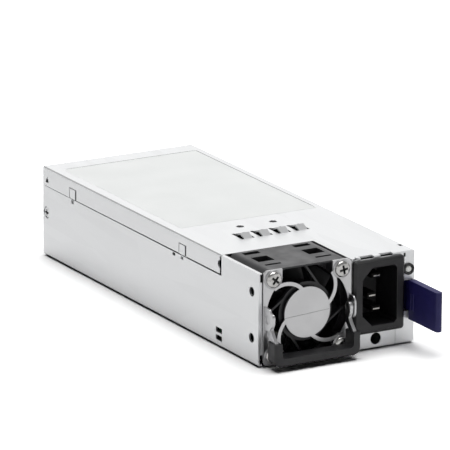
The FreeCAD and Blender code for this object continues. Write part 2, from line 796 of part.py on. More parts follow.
def make_top_cover():
    """Folded lid with side flanges, cut out around the fan, with four raised lances."""
    lid = new_body("top_cover")
    pad(lid, "XZ", [rectangle((LEFT, RIGHT), (f"{SEAM} + seam_gap", TOP))], (FRONT, REAR))
    hollow = rectangle((INNER_LEFT, INNER_RIGHT), (f"{SEAM} - sheet_thick", INNER_TOP))
    pocket(lid, "XZ", [hollow], (f"{FRONT} - sheet_thick", f"{REAR} + sheet_thick"))
    # the fan bay is open above
    bay = rectangle((f"{LEFT} - sheet_thick", BAY_RIGHT), (f"{FRONT} - sheet_thick", BAY_REAR))
    pocket(lid, "XY", [bay], (SEAM, f"{TOP} + sheet_thick"))
    # the right flange starts behind the front wall's return
    start = rectangle((INNER_RIGHT, f"{RIGHT} + sheet_thick"),
                      (f"{FRONT} - sheet_thick", f"{INNER_FRONT} + seam_gap"))
    pocket(lid, "XY", [start], (SEAM, INNER_TOP))
    # half-round notch in the left flange's front edge
    bite = circle((BAY_REAR, f"{SEAM} + bite_height"), "bite_radius")
    pocket(lid, "YZ", [bite], (f"{LEFT} - sheet_thick", INNER_LEFT))
    # snap slots
    for front, rear in snap_places():
        slot = rectangle((f"{front} - seam_gap", f"{rear} + seam_gap"),
                         (f"{SEAM} - seam_gap", f"{SEAM} + snap_height + 2 * seam_gap"))
        pocket(lid, "YZ", [slot], (f"{LEFT} - sheet_thick", INNER_LEFT))
        pocket(lid, "YZ", [slot], (INNER_RIGHT, f"{RIGHT} + sheet_thick"))
    # lances: a raised bridge with a ramp at its front, open at both sides
    first = f"{LEFT} + lance_left"
    front = f"{FRONT} + lance_back"
    window = rectangle((f"{first} - lance_width / 2", f"{first} + lance_width / 2"),
                       (front, f"{front} + lance_length"))
    opening = pocket(lid, "XY", [window], (f"{INNER_TOP} - sheet_thick", f"{TOP} + sheet_thick"))
    repeated(lid, opening, "X", "lance_pitch", "lance_count")
    rear = f"{front} + lance_length"
    crest = f"{TOP} + lance_rise"
    bridge_profile = polygon(
        (f"{front} - lance_foot", INNER_TOP), (f"{front} - lance_foot", TOP), (front, TOP),
        (f"{front} + lance_ramp", crest), (f"{rear} - lance_heel", crest), (rear, TOP),
        (f"{rear} + lance_foot", TOP), (f"{rear} + lance_foot", INNER_TOP),
        (f"{rear} - lance_foot", INNER_TOP), (f"{rear} - lance_heel - lance_wall", f"{crest} - sheet_thick"),
        (f"{front} + lance_ramp + lance_foot", f"{crest} - sheet_thick"),
        (f"{front} + lance_foot", INNER_TOP))
    bridge = pad(lid, "YZ", [bridge_profile], (f"{first} - lance_width / 2 + seam_gap",
                                               f"{first} + lance_width / 2 - seam_gap"))
    repeated(lid, bridge, "X", "lance_pitch", "lance_count")
    # two round holes behind the lances
    holes = [circle((f"{LEFT} + cover_hole_left + {step} * cover_hole_pitch", f"{FRONT} + cover_hole_back"),
                    "cover_hole_radius") for step in (0, 1)]
    pocket(lid, "XY", holes, (f"{INNER_TOP} - sheet_thick", f"{TOP} + sheet_thick"))
    # notches over the inlet and a small hole near the front right corner
    through = (f"{INNER_TOP} - sheet_thick", f"{TOP} + sheet_thick")
    cuts = [rectangle(span, (f"{FRONT} - sheet_thick", f"{FRONT} + notch_depth")) for span in notch_spans()]
    vee = f"{INLET_X} - vee_centre"
    cuts.append(polygon((f"{vee} - vee_half", FRONT), (f"{vee} + vee_half", FRONT),
                        (vee, f"{FRONT} + vee_depth")))
    slot_x, slot_y = f"{RIGHT} - corner_slot_side", f"{FRONT} + corner_slot_back"
    cuts.append(rectangle((f"{slot_x} - corner_slot_width / 2", f"{slot_x} + corner_slot_width / 2"),
                          (f"{slot_y} - corner_slot_length / 2", f"{slot_y} + corner_slot_length / 2")))
    pocket(lid, "XY", cuts, through)
    # small arrow-shaped opening in the flange near the rear
    arrow_y, arrow_z = f"{REAR} - mark_back", f"{TOP} - mark_drop"
    arrow = polygon((arrow_y, f"{arrow_z} - mark_half"), (f"{arrow_y} + mark_length", arrow_z),
                    (arrow_y, f"{arrow_z} + mark_half"))
    pocket(lid, "YZ", [arrow], (f"{LEFT} - sheet_thick", INNER_LEFT))
    # bend radii along the top of both flanges
    dress(lid, "Fillet", "bend_radius",
          lambda edge: runs(edge, "Y") and lies(edge, "Z", TOP) and lies(edge, "X", LEFT, RIGHT))


def make_rear_panel():
    """Rear wall with a honeycomb grille, the card edge's window and two screwed side flanges."""
    panel = new_body("rear_panel")
    inside = (f"{INNER_LEFT}", f"{INNER_RIGHT}")
    pad(panel, "XZ", [rectangle(inside, ("sheet_thick", INNER_TOP))], (INNER_REAR, REAR))
    for low, high in ((INNER_LEFT, f"{INNER_LEFT} + sheet_thick"),
                      (f"{INNER_RIGHT} - sheet_thick", INNER_RIGHT)):
        flange = rectangle((low, high), (f"{REAR} - rear_flange", REAR))
        pad(panel, "XY", [flange], ("sheet_thick", f"{SEAM} - snap_drop"))
    hole = circle((f"{REAR} - side_screw_rear", "side_screw_height"), "side_screw_thread + part_gap")
    pocket(panel, "YZ", [hole], (LEFT, RIGHT))
    window = rectangle(("-edge_width / 2 - edge_window_gap", "edge_width / 2 + edge_window_gap"),
                       (f"{BOARD_LOW} - edge_window_gap", f"{BOARD_TOP} + edge_window_gap"))
    pocket(panel, "XZ", [window], (f"{INNER_REAR} - sheet_thick", f"{REAR} + sheet_thick"))
    # honeycomb: one six-sided hole, repeated; every second row is set half a pitch across
    half = "vent_across / 2"
    point = "vent_across / sqrt(3)"
    for shift, low in (("0", "0"), ("vent_pitch / 2", "vent_pitch * sqrt(3) / 2")):
        u = f"-(vent_columns - 1) / 2 * vent_pitch + {shift}"
        v = f"vent_low + {low}"
        hexagon = polygon((f"{u} + {half}", f"{v} + {point} / 2"), (f"{u}", f"{v} + {point}"),
                          (f"{u} - {half}", f"{v} + {point} / 2"), (f"{u} - {half}", f"{v} - {point} / 2"),
                          (f"{u}", f"{v} - {point}"), (f"{u} + {half}", f"{v} - {point} / 2"))
        vent = pocket(panel, "XZ", [hexagon], (f"{INNER_REAR} - sheet_thick", f"{REAR} + sheet_thick"))
        rows = "floor(vent_rows / 2 + 0.6)" if shift == "0" else "floor(vent_rows / 2)"
        columns = "vent_columns" if shift == "0" else "vent_columns - 1"
        repeated(panel, vent, "X", "vent_pitch", columns, ("Z", "vent_pitch * sqrt(3)", rows))


# ---------------------------------------------------------------- fan


def fan_body(label, back="0"):
    """A body whose origin lies on the fan's axis, a distance behind the front plane."""
    return new_body(label, (FAN_X, f"{FRONT} + {back}", FAN_Z))


def make_fan_frame():
    """Moulded square frame: bore, corner holes, recesses in all four sides, motor plate and struts."""
    frame = fan_body("fan_frame")
    half = "fan_size / 2"
    depth = ("0", "fan_depth")
    pad(frame, "XZ", [rectangle((f"-{half}", half), (f"-{half}", half))], depth)
    dress(frame, "Fillet", "fan_corner", lambda edge: runs(edge, "Y"))
    pocket(frame, "XZ", [circle(("0", "0"), "fan_bore_radius")], depth)
    corner = "fan_hole_pitch / 2"
    hole = pocket(frame, "XZ", [circle((corner, corner), "fan_hole_radius")], ("0", "fan_hole_depth"))
    turned(frame, [hole], "4")
    # the mouth is open to a thin rim between the four corner bosses
    arm, reach = "guard_gap_half", "(fan_size / 2 - mouth_wall)"
    for across, up in ((arm, reach), (reach, arm)):
        pocket(frame, "XZ", [rectangle((f"-{across}", across), (f"-{up}", up))], ("0", "mouth_depth"))
    # each recess leaves a thin wall around the bore
    ring = "(fan_bore_radius + fan_ring_wall)"
    deep = [f"sqrt({ring} * {ring} - {reach} * {reach})" for reach in ("recess_inner", "recess_outer")]
    recesses = []
    for front, rear in (("recess_front", "recess_front + recess_thin"),
                        ("recess_middle", "recess_middle + recess_wide"),
                        ("fan_depth - recess_rear - recess_deep", "fan_depth - recess_rear")):
        loops = []
        for side in ("", "-"):
            loops.append(polygon((f"{side}recess_inner", "fan_size"), (f"{side}recess_outer", "fan_size"),
                                 (f"{side}recess_outer", deep[1]), (f"{side}recess_inner", deep[0])))
        recesses.append(pocket(frame, "XZ", loops, (front, rear)))
    turned(frame, recesses, "4")
    plate = ("motor_front", MOTOR_REAR)
    # one strut runs from the motor plate's side to the rim, at a tangent, and is turned to make the four
    outer, inner = "(motor_radius - strut_inset)", "(motor_radius - strut_inset - strut_thick)"
    rim = "(fan_size / 2 - mouth_wall / 2)"
    outline = []
    for line, ends in ((outer, (0, 1)), (inner, (1, 0))):
        foot = (f"{line} * cos(strut_turn)", f"{line} * sin(strut_turn)")
        tip = (f"({line} - {rim} * sin(strut_turn)) / cos(strut_turn)", rim)
        outline += [(foot, tip)[end] for end in ends]
    strut = pad(frame, "XZ", [polygon(*outline)], plate)
    turned(frame, [strut], "4")
    pad(frame, "XZ", [circle(("0", "0"), "motor_radius")], plate)


def make_fan_rotor():
    """Hub cup open to the front, with lofted blades trimmed to the bore."""
    rotor = fan_body("fan_rotor")
    length = (f"{MOTOR_REAR} + hub_gap", "fan_depth - rotor_rear_gap")
    pad(rotor, "XZ", [circle(("0", "0"), "hub_radius")], length)
    front, rear = f"{length[0]} + blade_front_gap", f"{length[1]} - blade_rear_gap"
    middle = f"({front} + {rear}) / 2"

    def section(height, skew, camber):
        outline = polygon((f"-{skew}", front), (f"-{skew} + blade_thick", front),
                          (f"blade_thick - {camber}", middle), (f"{skew} + blade_thick", rear),
                          (skew, rear), (f"-{camber}", middle))
        return sketch_on(rotor, "XY", height, [outline])

    blade = rotor.newObject("PartDesign::AdditiveLoft", "Blade")
    blade.Profile = section("hub_radius - blade_root", "blade_skew", "blade_camber")
    blade.Sections = [section("fan_bore_radius + blade_tip_gap", "blade_twist * blade_skew",
                              "blade_twist * blade_camber")]
    blade.Ruled = True
    rotor.Tip = blade
    turned(rotor, [blade], "blade_count")
    trim = [circle(("0", "0"), "2 * fan_bore_radius"), circle(("0", "0"), "fan_bore_radius - blade_tip_gap")]
    pocket(rotor, "XZ", trim, ("0", "fan_depth"))
    cup = circle(("0", "0"), "hub_radius - hub_wall")
    pocket(rotor, "XZ", [cup], (length[0], f"{length[1]} - hub_floor"))


def make_fan_motor():
    """Magnet ring and shaft that turn with the rotor; stator and bearing that stay on the motor plate."""
    plate = f"({FRONT} + {MOTOR_REAR})"
    floor = f"({FRONT} + fan_depth - rotor_rear_gap - hub_floor)"
    axis = (FAN_X, FAN_Z)
    inside = "(hub_radius - hub_wall)"
    magnet = tube("Y", axis, inside, f"({inside} - magnet_thick)",
                  (f"{plate} + magnet_gap", f"{floor} - magnet_gap / 2"))
    node(magnet, "fan_magnet")
    node(rod("Y", axis, "shaft_radius", (f"{plate} + magnet_gap / 2", floor)), "fan_shaft")
    bearing_span = (plate, f"{floor} - hub_floor")
    node(tube("Y", axis, "bearing_radius", "(shaft_radius + shaft_clearance)", bearing_span), "fan_bearing")
    stator = tube("Y", axis, "stator_radius", "bearing_radius",
                  (f"{plate} + stator_gap", f"{floor} - stator_gap"))
    half = "stator_slot / 2"
    slots = [block((f"{FAN_X} - stator_radius", f"{FAN_X} - bearing_radius - {half}"), (FRONT, REAR),
                   (f"{FAN_Z} - {half}", f"{FAN_Z} + {half}")),
             block((f"{FAN_X} - {half}", f"{FAN_X} + {half}"), (FRONT, REAR),
                   (f"{FAN_Z} + bearing_radius + {half}", f"{FAN_Z} + stator_radius"))]
    node(cut(stator, slots), "fan_stator")


def turned(body, features, count):
    """Repeat features around the body's own Y axis."""
    axes = {line.Role: line for line in body.Origin.OriginFeatures}
    pattern = body.newObject("PartDesign::PolarPattern", f"{body.Name}Polar")
    pattern.Originals = features
    pattern.Axis = (axes["Y_Axis"], [""])
    pattern.Angle = 360
    bind(pattern, "Occurrences", count)
    body.Tip = pattern
    return pattern


def make_fan_guard():
    """Steel plate over the fan: round opening, disc on four curved struts, two forward ears with pins."""
    guard = fan_body("fan_guard")
    sheet = ("-guard_thick", "0")
    half = "guard_width / 2"
    pad(guard, "XZ", [rectangle((f"-{half}", half), ("-fan_size / 2", "fan_size / 2"))], sheet)
    dress(guard, "Fillet", "guard_corner", lambda edge: runs(edge, "Y"))
    pocket(guard, "XZ", [circle(("0", "0"), "guard_open_radius")], sheet)
    gap = ("-guard_gap_half", "guard_gap_half")
    inside = "guard_open_radius / 2"
    gaps = [rectangle(gap, (inside, "fan_size")), rectangle(gap, ("-fan_size", f"-{inside}"))]
    pocket(guard, "XZ", gaps, sheet)
    corner = "fan_hole_pitch / 2"
    pocket(guard, "XZ", [circle((f"{x}{corner}", f"{z}{corner}"), "guard_thread_radius + part_gap")
                         for x in ("", "-") for z in ("", "-")], sheet)
    # one curved strut, turned to make the four
    strut = pad(guard, "XZ", [("band", ("-guard_strut_side", "guard_strut_rise"), "guard_strut_radius",
                               "guard_strut_width", "guard_strut_start", "guard_strut_end")], sheet)
    turned(guard, [strut], "4")
    pad(guard, "XZ", [circle(("0", "0"), "guard_disc_radius")], sheet)
    # ears, bent forward at the sides of the opening, each with a pin pressed inwards
    ear_mid = f"(pivot_height - {FAN_Z})"
    pivot = ("-pivot_front", ear_mid)
    ears, pins, dimples = [], [], []
    for side in (1, -1):
        inner, outer = f"{side} * {EAR_IN}", f"{side} * ({EAR_IN} + guard_thick)"
        ears.append(rectangle(sorted((inner, outer), key=number), ("-guard_thick - ear_depth", "0")))
        pins.append(sorted((inner, f"{side} * ({EAR_IN} - ear_gap - arm_thick)"), key=number))
        dimples.append(sorted((outer, f"{side} * ({EAR_IN} + guard_thick - dimple_depth)"), key=number))
    pad(guard, "XY", ears, (f"{ear_mid} - ear_height / 2", f"{ear_mid} + ear_height / 2"))
    dress(guard, "Fillet", "ear_corner",
          lambda edge: runs(edge, "X") and lies(edge, "Y", "-guard_thick - ear_depth"))
    for span in pins:
        pad(guard, "YZ", [circle(pivot, "pivot_radius")], span)
    for span in dimples:
        pocket(guard, "YZ", [circle(pivot, "dimple_radius")], span)


def make_screws():
    """Pan-head screws of the guard, and their washers."""
    corner = "(fan_hole_pitch / 2)"
    screws = new_body("guard_screws", (f"{FAN_X} - {corner}", FRONT, f"{FAN_Z} - {corner}"))
    seat = "(-guard_thick - washer_thick)"
    top = f"{seat} - guard_screw_head"
    profile = polygon(("0", top), ("guard_screw_flat", top),
                      ("guard_screw_radius", f"{seat} - guard_screw_edge"), ("guard_screw_radius", seat),
                      ("guard_thread_radius", seat),
                      ("guard_thread_radius", "guard_screw_length"), ("0", "guard_screw_length"))
    turn_profile(screws, profile)
    grouped(screws, "X", "fan_hole_pitch")
    grouped(screws, "Z", "fan_hole_pitch")

    washers = new_body("guard_washers", (f"{FAN_X} - {corner}", FRONT, f"{FAN_Z} - {corner}"))
    rims = [circle(("0", "0"), radius) for radius in ("washer_radius", "guard_thread_radius + part_gap")]
    pad(washers, "XZ", rims, (seat, "-guard_thick"))
    grouped(washers, "X", "fan_hole_pitch")
    grouped(washers, "Z", "fan_hole_pitch")


def turn_profile(body, profile):
    """Revolve an outline drawn in the XY plane around the body's own Y axis."""
    axes = {line.Role: line for line in body.Origin.OriginFeatures}
    feature = body.newObject("PartDesign::Revolution", f"{body.Name}Revolution")
    feature.Profile = sketch_on(body, "XY", "0", [profile])
    feature.ReferenceAxis = (axes["Y_Axis"], [""])
    feature.Angle = 360
    body.Tip = feature
    return feature


def grouped(body, axis, pitch, count="2"):
    """Repeat the whole body along an axis as a group of separate solids."""
    axes = {line.Role: line for line in body.Origin.OriginFeatures}
    pattern = body.newObject("PartDesign::LinearPattern", f"{body.Name}Group")
    pattern.TransformMode = "Whole shape"
    pattern.Direction = (axes[f"{axis}_Axis"], [""])
    pattern.Mode = "Spacing"
    bind(pattern, "Offset", pitch)
    bind(pattern, "Occurrences", count)
    body.Tip = pattern


# ---------------------------------------------------------------- handle


def make_handle():
    """Two steel arms that hang on the ears' pins, and the U grip moulded over their ends."""
    arm_out = f"({EAR_IN} - ear_gap)"
    arm_in = f"({arm_out} - arm_thick)"
    grip_top = "(grip_bottom + grip_height)"
    below = f"({grip_top} - pivot_height)"
    for label, side in (("handle_arm_left", -1), ("handle_arm_right", 1)):
        arm = new_body(label, (FAN_X, PIVOT_Y, "pivot_height"))
        across = sorted((f"{side} * {arm_in}", f"{side} * {arm_out}"), key=number)
        # the strap is waisted under the ear, then leans forward into the grip
        seat = f"{below} - arm_seat"
        strap = polygon(("-arm_shoulder", "0"), ("-arm_shoulder", "-arm_waist_top"),
                        ("-arm_waist", "-arm_waist_middle"), ("-arm_shoulder", "-arm_waist_low"),
                        ("-arm_front", below), ("-arm_front", seat), ("arm_width - arm_front", seat),
                        ("arm_width - arm_front", below), ("arm_shoulder", "-arm_waist_low"),
                        ("arm_shoulder", "0"))
        pad(arm, "YZ", [strap], across)
        pad(arm, "YZ", [circle(("0", "0"), "arm_eye_radius")], across)
        pocket(arm, "YZ", [circle(("0", "0"), "pivot_radius + pivot_clearance")], across)

    grip = new_body("handle_grip", (FAN_X, f"{FRONT} - grip_front", "0"))
    depth = ("-grip_depth", "0")
    wide = "grip_half_width"
    legs = f"({wide} - grip_leg)"
    bar = "grip_bottom + grip_bar"
    outline = polygon((f"-{wide}", grip_top), (f"-{wide}", "grip_bottom"), (wide, "grip_bottom"),
                      (wide, grip_top), (legs, grip_top), (legs, bar), (f"-{legs}", bar),
                      (f"-{legs}", grip_top))
    pad(grip, "XZ", [outline], depth)
    dress(grip, "Fillet", "grip_corner", lambda edge: runs(edge, "Y") and lies(edge, "Z", "grip_bottom"))
    dress(grip, "Fillet", "grip_corner / 2",
          lambda edge: runs(edge, "Y") and lies(edge, "Z", bar))
    dress(grip, "Fillet", "grip_round",
          lambda edge: runs(edge, "X") and lies(edge, "Z", "grip_bottom")
          or runs(edge, "Z") and lies(edge, "X", wide, f"-{wide}"))
    seat_y = (f"{PIVOT_Y} - arm_front - ({FRONT} - grip_front)",
              f"{PIVOT_Y} + arm_width - arm_front - ({FRONT} - grip_front)")
    seats = [rectangle(sorted((f"{side} * {arm_in}", f"{side} * {arm_out}"), key=number), seat_y)
             for side in (-1, 1)]
    pocket(grip, "XY", seats, (f"{grip_top} - arm_seat", grip_top))


# ---------------------------------------------------------------- inlet and indicator


def make_inlet():
    """Appliance inlet: bevelled flange, socket with two clipped corners, three flat blades."""
    inlet = new_body("inlet_housing", (INLET_X, FRONT, "inlet_height"))
    wide, tall = "inlet_flange_width / 2", "inlet_flange_height / 2"
    pad(inlet, "XZ", [rectangle((f"-{wide}", wide), (f"-{tall}", tall))], ("-inlet_proud", "0"))
    dress(inlet, "Fillet", "inlet_corner", lambda edge: runs(edge, "Y"))
    dress(inlet, "Chamfer", "inlet_bevel", lambda edge: lies(edge, "Y", "-inlet_proud"))
    body_wide, body_tall = "inlet_body_width / 2", "inlet_body_height / 2"
    depth = "inlet_body_depth"
    pad(inlet, "XZ", [rectangle((f"-{body_wide}", body_wide), (f"-{body_tall}", body_tall))], ("0", depth))
    u, v = "cavity_width / 2", "cavity_height / 2"
    clip, small = "cavity_chamfer", "cavity_corner"
    socket = polygon((f"-{u} + {clip}", f"-{v}"), (f"{u} - {small}", f"-{v}"), (u, f"-{v} + {small}"),
                     (u, f"{v} - {small}"), (f"{u} - {small}", v), (f"-{u} + {clip}", v),
                     (f"-{u}", f"{v} - {clip}"), (f"-{u}", f"-{v} + {clip}"))
    pocket(inlet, "XZ", [socket], ("-inlet_proud - 1", "cavity_depth - inlet_proud"))
    slots = [rectangle(u_span, v_span) for u_span, v_span, _ in inlet_blades()]
    pocket(inlet, "XZ", slots, ("0", depth))
    blades = new_body("inlet_blades", (INLET_X, FRONT, "inlet_height"))
    tips = []
    for u, v, recess in inlet_blades():
        tip = f"{recess} - inlet_proud"
        pad(blades, "XZ", [rectangle(u, v)], (tip, f"{depth} + blade_terminal"))
        tips.append(tip)
    dress(blades, "Chamfer", "blade_bevel", lambda edge: lies(edge, "Y", *tips))


def inlet_blades():
    """Width span, height span and recess of the three blades, about the inlet's centre."""
    for across, up, recess in (("earth_offset / 2", "blade_pitch / 2", "live_recess"),
                               ("earth_offset / 2", "-blade_pitch / 2", "live_recess"),
                               ("-earth_offset / 2", "0", "earth_recess")):
        centre = f"{across} + blade_shift"
        yield ((f"{centre} - inlet_blade_width / 2", f"{centre} + inlet_blade_width / 2"),
               (f"{up} - inlet_blade_thick / 2", f"{up} + inlet_blade_thick / 2"), recess)


def make_indicator():
    """Round holder clipped in the front wall, its lens, and the small board behind it."""
    axis = (LED_X, "led_height")
    rear = f"{FRONT} + led_depth"
    ring = rod("Y", axis, "led_ring_radius", (f"{FRONT} - led_ring_proud", FRONT))
    stem = rod("Y", axis, "led_hole_radius", (FRONT, rear))
    bore = rod("Y", axis, "led_lens_radius", (f"{FRONT} - 2 * led_ring_proud", f"{rear} + 1"))
    node(cut(joined([ring, stem]), [bore]), "led_holder")
    face = f"{FRONT} - led_ring_proud / 2"
    lens = rod("Y", axis, "led_lens_radius", (face, rear))
    dome = DOC.addObject("Part::Cone", "LensDome")
    dome.Placement.Rotation = FreeCAD.Rotation(FreeCAD.Vector(1, 0, 0), 90)
    for side, place in zip("xyz", (LED_X, face, "led_height")):
        bind(dome, f"Placement.Base.{side}", place)
    bind(dome, "Radius1", "led_lens_radius")
    bind(dome, "Radius2", "lens_flat")
    bind(dome, "Height", "lens_dome")
    node(joined([lens, dome]), "led_lens")
    board = block((f"{LED_X} - led_board_side", f"{INNER_RIGHT} - led_board_gap"),
                  (rear, f"{rear} + led_board_thick"),
                  ("led_height - led_board_low", f"{INNER_TOP} - led_board_top"))
    node(board, "led_board")


# ---------------------------------------------------------------- release lever and latch


def make_release():
    """Moulded paddle with a neck through the front wall, on a steel arm whose hook leaves the side."""
    left = f"({RIGHT} - lever_from_right - lever_thick)"
    paddle_rear = f"({FRONT} - lever_gap)"
    lever = new_body("release_lever")
    paddle = rectangle((left, f"{left} + lever_thick"), (f"{FRONT} - lever_reach", paddle_rear))
    pad(lever, "XY", [paddle], ("lever_low", "lever_low + lever_height"))
    dress(lever, "Fillet", "lever_round",
          lambda edge: runs(edge, "Z") and lies(edge, "Y", f"{FRONT} - lever_reach"))
    neck = rectangle((left, LATCH_OUT), (paddle_rear, f"{FRONT} + neck_length"))
    pad(lever, "XY", [neck], ("slot_low + slot_gap", "slot_low + slot_height - slot_gap"))
    ridges = []
    for step in (0, 1):
        back = f"{paddle_rear} - ridge_back - {step} * ridge_pitch"
        ridges.append(rectangle((f"{left} - ridge_proud", left), (back, f"{back} + ridge_width")))
    pad(lever, "XY", ridges, ("lever_low + ridge_low", "lever_low + ridge_low + ridge_height"))
    arm_front = f"{FRONT} + arm_front_gap"
    groove = rectangle((LATCH_IN, RIGHT), (arm_front, f"{FRONT} + neck_length + groove_rear_gap"))
    pocket(lever, "XY", [groove], ("latch_arm_low", "latch_arm_low + latch_arm_height"))

    arm = new_body("latch_arm")
    height = ("latch_arm_low", "latch_arm_low + latch_arm_height")
    pad(arm, "XY", [rectangle((LATCH_IN, LATCH_OUT), (arm_front, LATCH_Y))], height)
    knuckle = ("latch_arm_low + spring_height", "latch_arm_low + latch_arm_height")
    pad(arm, "XY", [circle((LATCH_X, LATCH_Y), "knuckle_radius")], knuckle)
    pocket(arm, "XY", [circle((LATCH_X, LATCH_Y), "latch_pin_radius + latch_pin_clearance")], height)
    room = rectangle((f"{LATCH_IN} - knuckle_radius", f"{LATCH_OUT} + knuckle_radius"),
                     (f"{LATCH_Y} - 2 * knuckle_radius", f"{LATCH_Y} + knuckle_radius"))
    pocket(arm, "XY", [room], ("latch_arm_low - spring_height", "latch_arm_low + spring_height"))
    hook_front, hook_rear = f"{HOOK_Y} - hook_length / 2", f"{HOOK_Y} + hook_length / 2"
    tip = f"{RIGHT} + hook_proud"
    catch = polygon((LATCH_OUT, hook_front), (tip, hook_front), (tip, f"{hook_front} + catch_flat"),
                    (RIGHT, hook_rear), (LATCH_OUT, hook_rear))
    pad(arm, "XY", [catch], (f"{LEVER_Z} - hook_height / 2", f"{LEVER_Z} + hook_height / 2"))

    ears = ("latch_arm_low - bracket_gap", "latch_arm_low + latch_arm_height + bracket_gap")
    whole = (f"{ears[0]} - sheet_thick", f"{ears[1]} + sheet_thick")
    node(rod("Z", (LATCH_X, LATCH_Y), "latch_pin_radius", whole), "latch_pin")
    spring = ("latch_arm_low + bracket_gap", "latch_arm_low + spring_height - bracket_gap")
    coils = tube("Z", (LATCH_X, LATCH_Y), "(knuckle_radius - 2 * part_gap)", "(latch_pin_radius + part_gap)",
                 spring)
    node(coils, "latch_torsion_spring")
    bracket = new_body("latch_bracket")
    bracket_rear = f"{LATCH_Y} + bracket_length"
    foot = rectangle((f"{INNER_RIGHT} - sheet_thick", INNER_RIGHT),
                     (f"{LATCH_Y} + knuckle_radius + latch_wall_gap", bracket_rear))
    pad(bracket, "XY", [foot], whole)
    ear = rectangle((f"{LATCH_X} - knuckle_radius", INNER_RIGHT),
                    (f"{LATCH_Y} - knuckle_radius", bracket_rear))
    pad(bracket, "XY", [ear], (whole[0], ears[0]))
    pad(bracket, "XY", [ear], (ears[1], whole[1]))
    pocket(bracket, "XY", [circle((LATCH_X, LATCH_Y), "latch_pin_radius")], whole)


# ---------------------------------------------------------------- board and what stands on it


def board_screw_places():
    """Where the board is screwed down, near its four corners."""
    for side in (-1, 1):
        for place in (f"{BOARD_FRONT} + board_screw_front", f"{BOARD_REAR} - board_screw_front"):
            yield f"{side} * ({BOARD_RIGHT} - board_screw_side)", place


def hexagon(centre, across):
    """A six-sided outline, with two corners along the first sketch axis, by the width across its flats."""
    u, v = centre
    corner, flat = f"{across} / sqrt(3)", f"{across} / 2"
    return polygon((f"{u} + {corner}", v), (f"{u} + {corner} / 2", f"{v} + {flat}"),
                   (f"{u} - {corner} / 2", f"{v} + {flat}"), (f"{u} - {corner}", v),
                   (f"{u} - {corner} / 2", f"{v} - {flat}"), (f"{u} + {corner} / 2", f"{v} - {flat}"))


def make_board():
    """Main board with its card edge, gold contacts, standoffs, screws and insulating film."""
    board = new_body("main_board")
    tongue = "edge_width / 2"
    edge = f"{REAR} + edge_reach"
    outline = polygon((BOARD_LEFT, BOARD_FRONT), (BOARD_RIGHT, BOARD_FRONT), (BOARD_RIGHT, BOARD_REAR),
                      (tongue, BOARD_REAR), (tongue, edge), (f"-{tongue}", edge), (f"-{tongue}", BOARD_REAR),
                      (BOARD_LEFT, BOARD_REAR))
    pad(board, "XY", [outline], (BOARD_LOW, BOARD_TOP))
    holes = [circle(place, "board_screw_radius + part_gap") for place in board_screw_places()]
    pocket(board, "XY", holes, (BOARD_LOW, BOARD_TOP))

    fingers = []
    tip = f"{REAR} + edge_reach - 0.8"
    for index in range(int(number("contact_count"))):
        middle = f"({index} - (contact_count - 1) / 2) * contact_pitch"
        across = (f"{middle} - contact_width / 2", f"{middle} + contact_width / 2")
        for low, high in ((BOARD_TOP, f"{BOARD_TOP} + contact_thick"),
                          (f"{BOARD_LOW} - contact_thick", BOARD_LOW)):
            fingers.append(block(across, (f"{tip} - contact_length", tip), (low, high)))
    node(joined(fingers), "edge_contacts")

    places = list(board_screw_places())
    posts = new_body("board_standoffs")
    pad(posts, "XY", [hexagon(place, "standoff_across") for place in places]
        + [circle(place, "board_screw_radius") for place in places], ("sheet_thick", BOARD_LOW))
    screws = new_body("board_screws")
    pad(screws, "XY", [hexagon(place, "board_screw_across") for place in places],
        (BOARD_TOP, f"{BOARD_TOP} + board_screw_height"))
    pad(screws, "XY", [circle(place, "board_screw_radius") for place in places], ("sheet_thick", BOARD_TOP))
    film = new_body("insulating_film")
    pad(film, "XY", [rectangle((BOARD_LEFT, BOARD_RIGHT), (BOARD_FRONT, BOARD_REAR))]
        + [hexagon(place, "(standoff_across + 2 * part_gap)") for place in places],
        ("sheet_thick", "sheet_thick + sheet_film"))


def boxed(label, across, ahead, name):
    """A block part standing on the board at its centre, sized by the three sizes of its name."""
    x = (f"{across} - {name}_width / 2", f"{across} + {name}_width / 2")
    y = (f"{ahead} - {name}_length / 2", f"{ahead} + {name}_length / 2")
    return node(block(x, y, (BOARD_TOP, f"{BOARD_TOP} + {name}_height")), label)


def wound(label, across, ahead, name):
    """A wound ring core lying on the board at its centre, sized by the three sizes of its name."""
    span = (BOARD_TOP, f"{BOARD_TOP} + {name}_height")
    return node(tube("Z", (across, ahead), f"{name}_radius", f"{name}_hole", span), label)


def make_input_stage():
    """Filter, protection and rectifier parts behind the fan and the inlet."""
    wound("emi_choke", f"{BOARD_LEFT} + choke_side", f"{BOARD_FRONT} + choke_back", "choke")
    boxed("x_capacitor", "x_box_centre", f"{BOARD_FRONT} + x_box_back", "x_box")
    disc = (f"{BOARD_RIGHT} - disc_side", f"{BOARD_TOP} + disc_radius")
    discs = []
    for step in (0, 1):
        front = f"{BOARD_FRONT} + disc_back + {step} * disc_pitch"
        discs.append(rod("Y", disc, "disc_radius", (front, f"{front} + disc_thick")))
    node(joined(discs), "y_capacitors")
    front = f"{BOARD_FRONT} + fuse_back"
    fuse = (f"{BOARD_RIGHT} - fuse_side", f"{BOARD_TOP} + fuse_radius")
    node(rod("Y", fuse, "fuse_radius", (front, f"{front} + fuse_length")), "fuse")
    boxed("relay", "relay_centre", f"{BOARD_FRONT} + relay_back", "relay")
    boxed("bridge_rectifier", f"{BOARD_RIGHT} - bridge_side", f"{BOARD_FRONT} + bridge_back", "bridge")
    wound("pfc_inductor", f"{BOARD_LEFT} + pfc_side", f"{BOARD_FRONT} + pfc_back", "pfc")


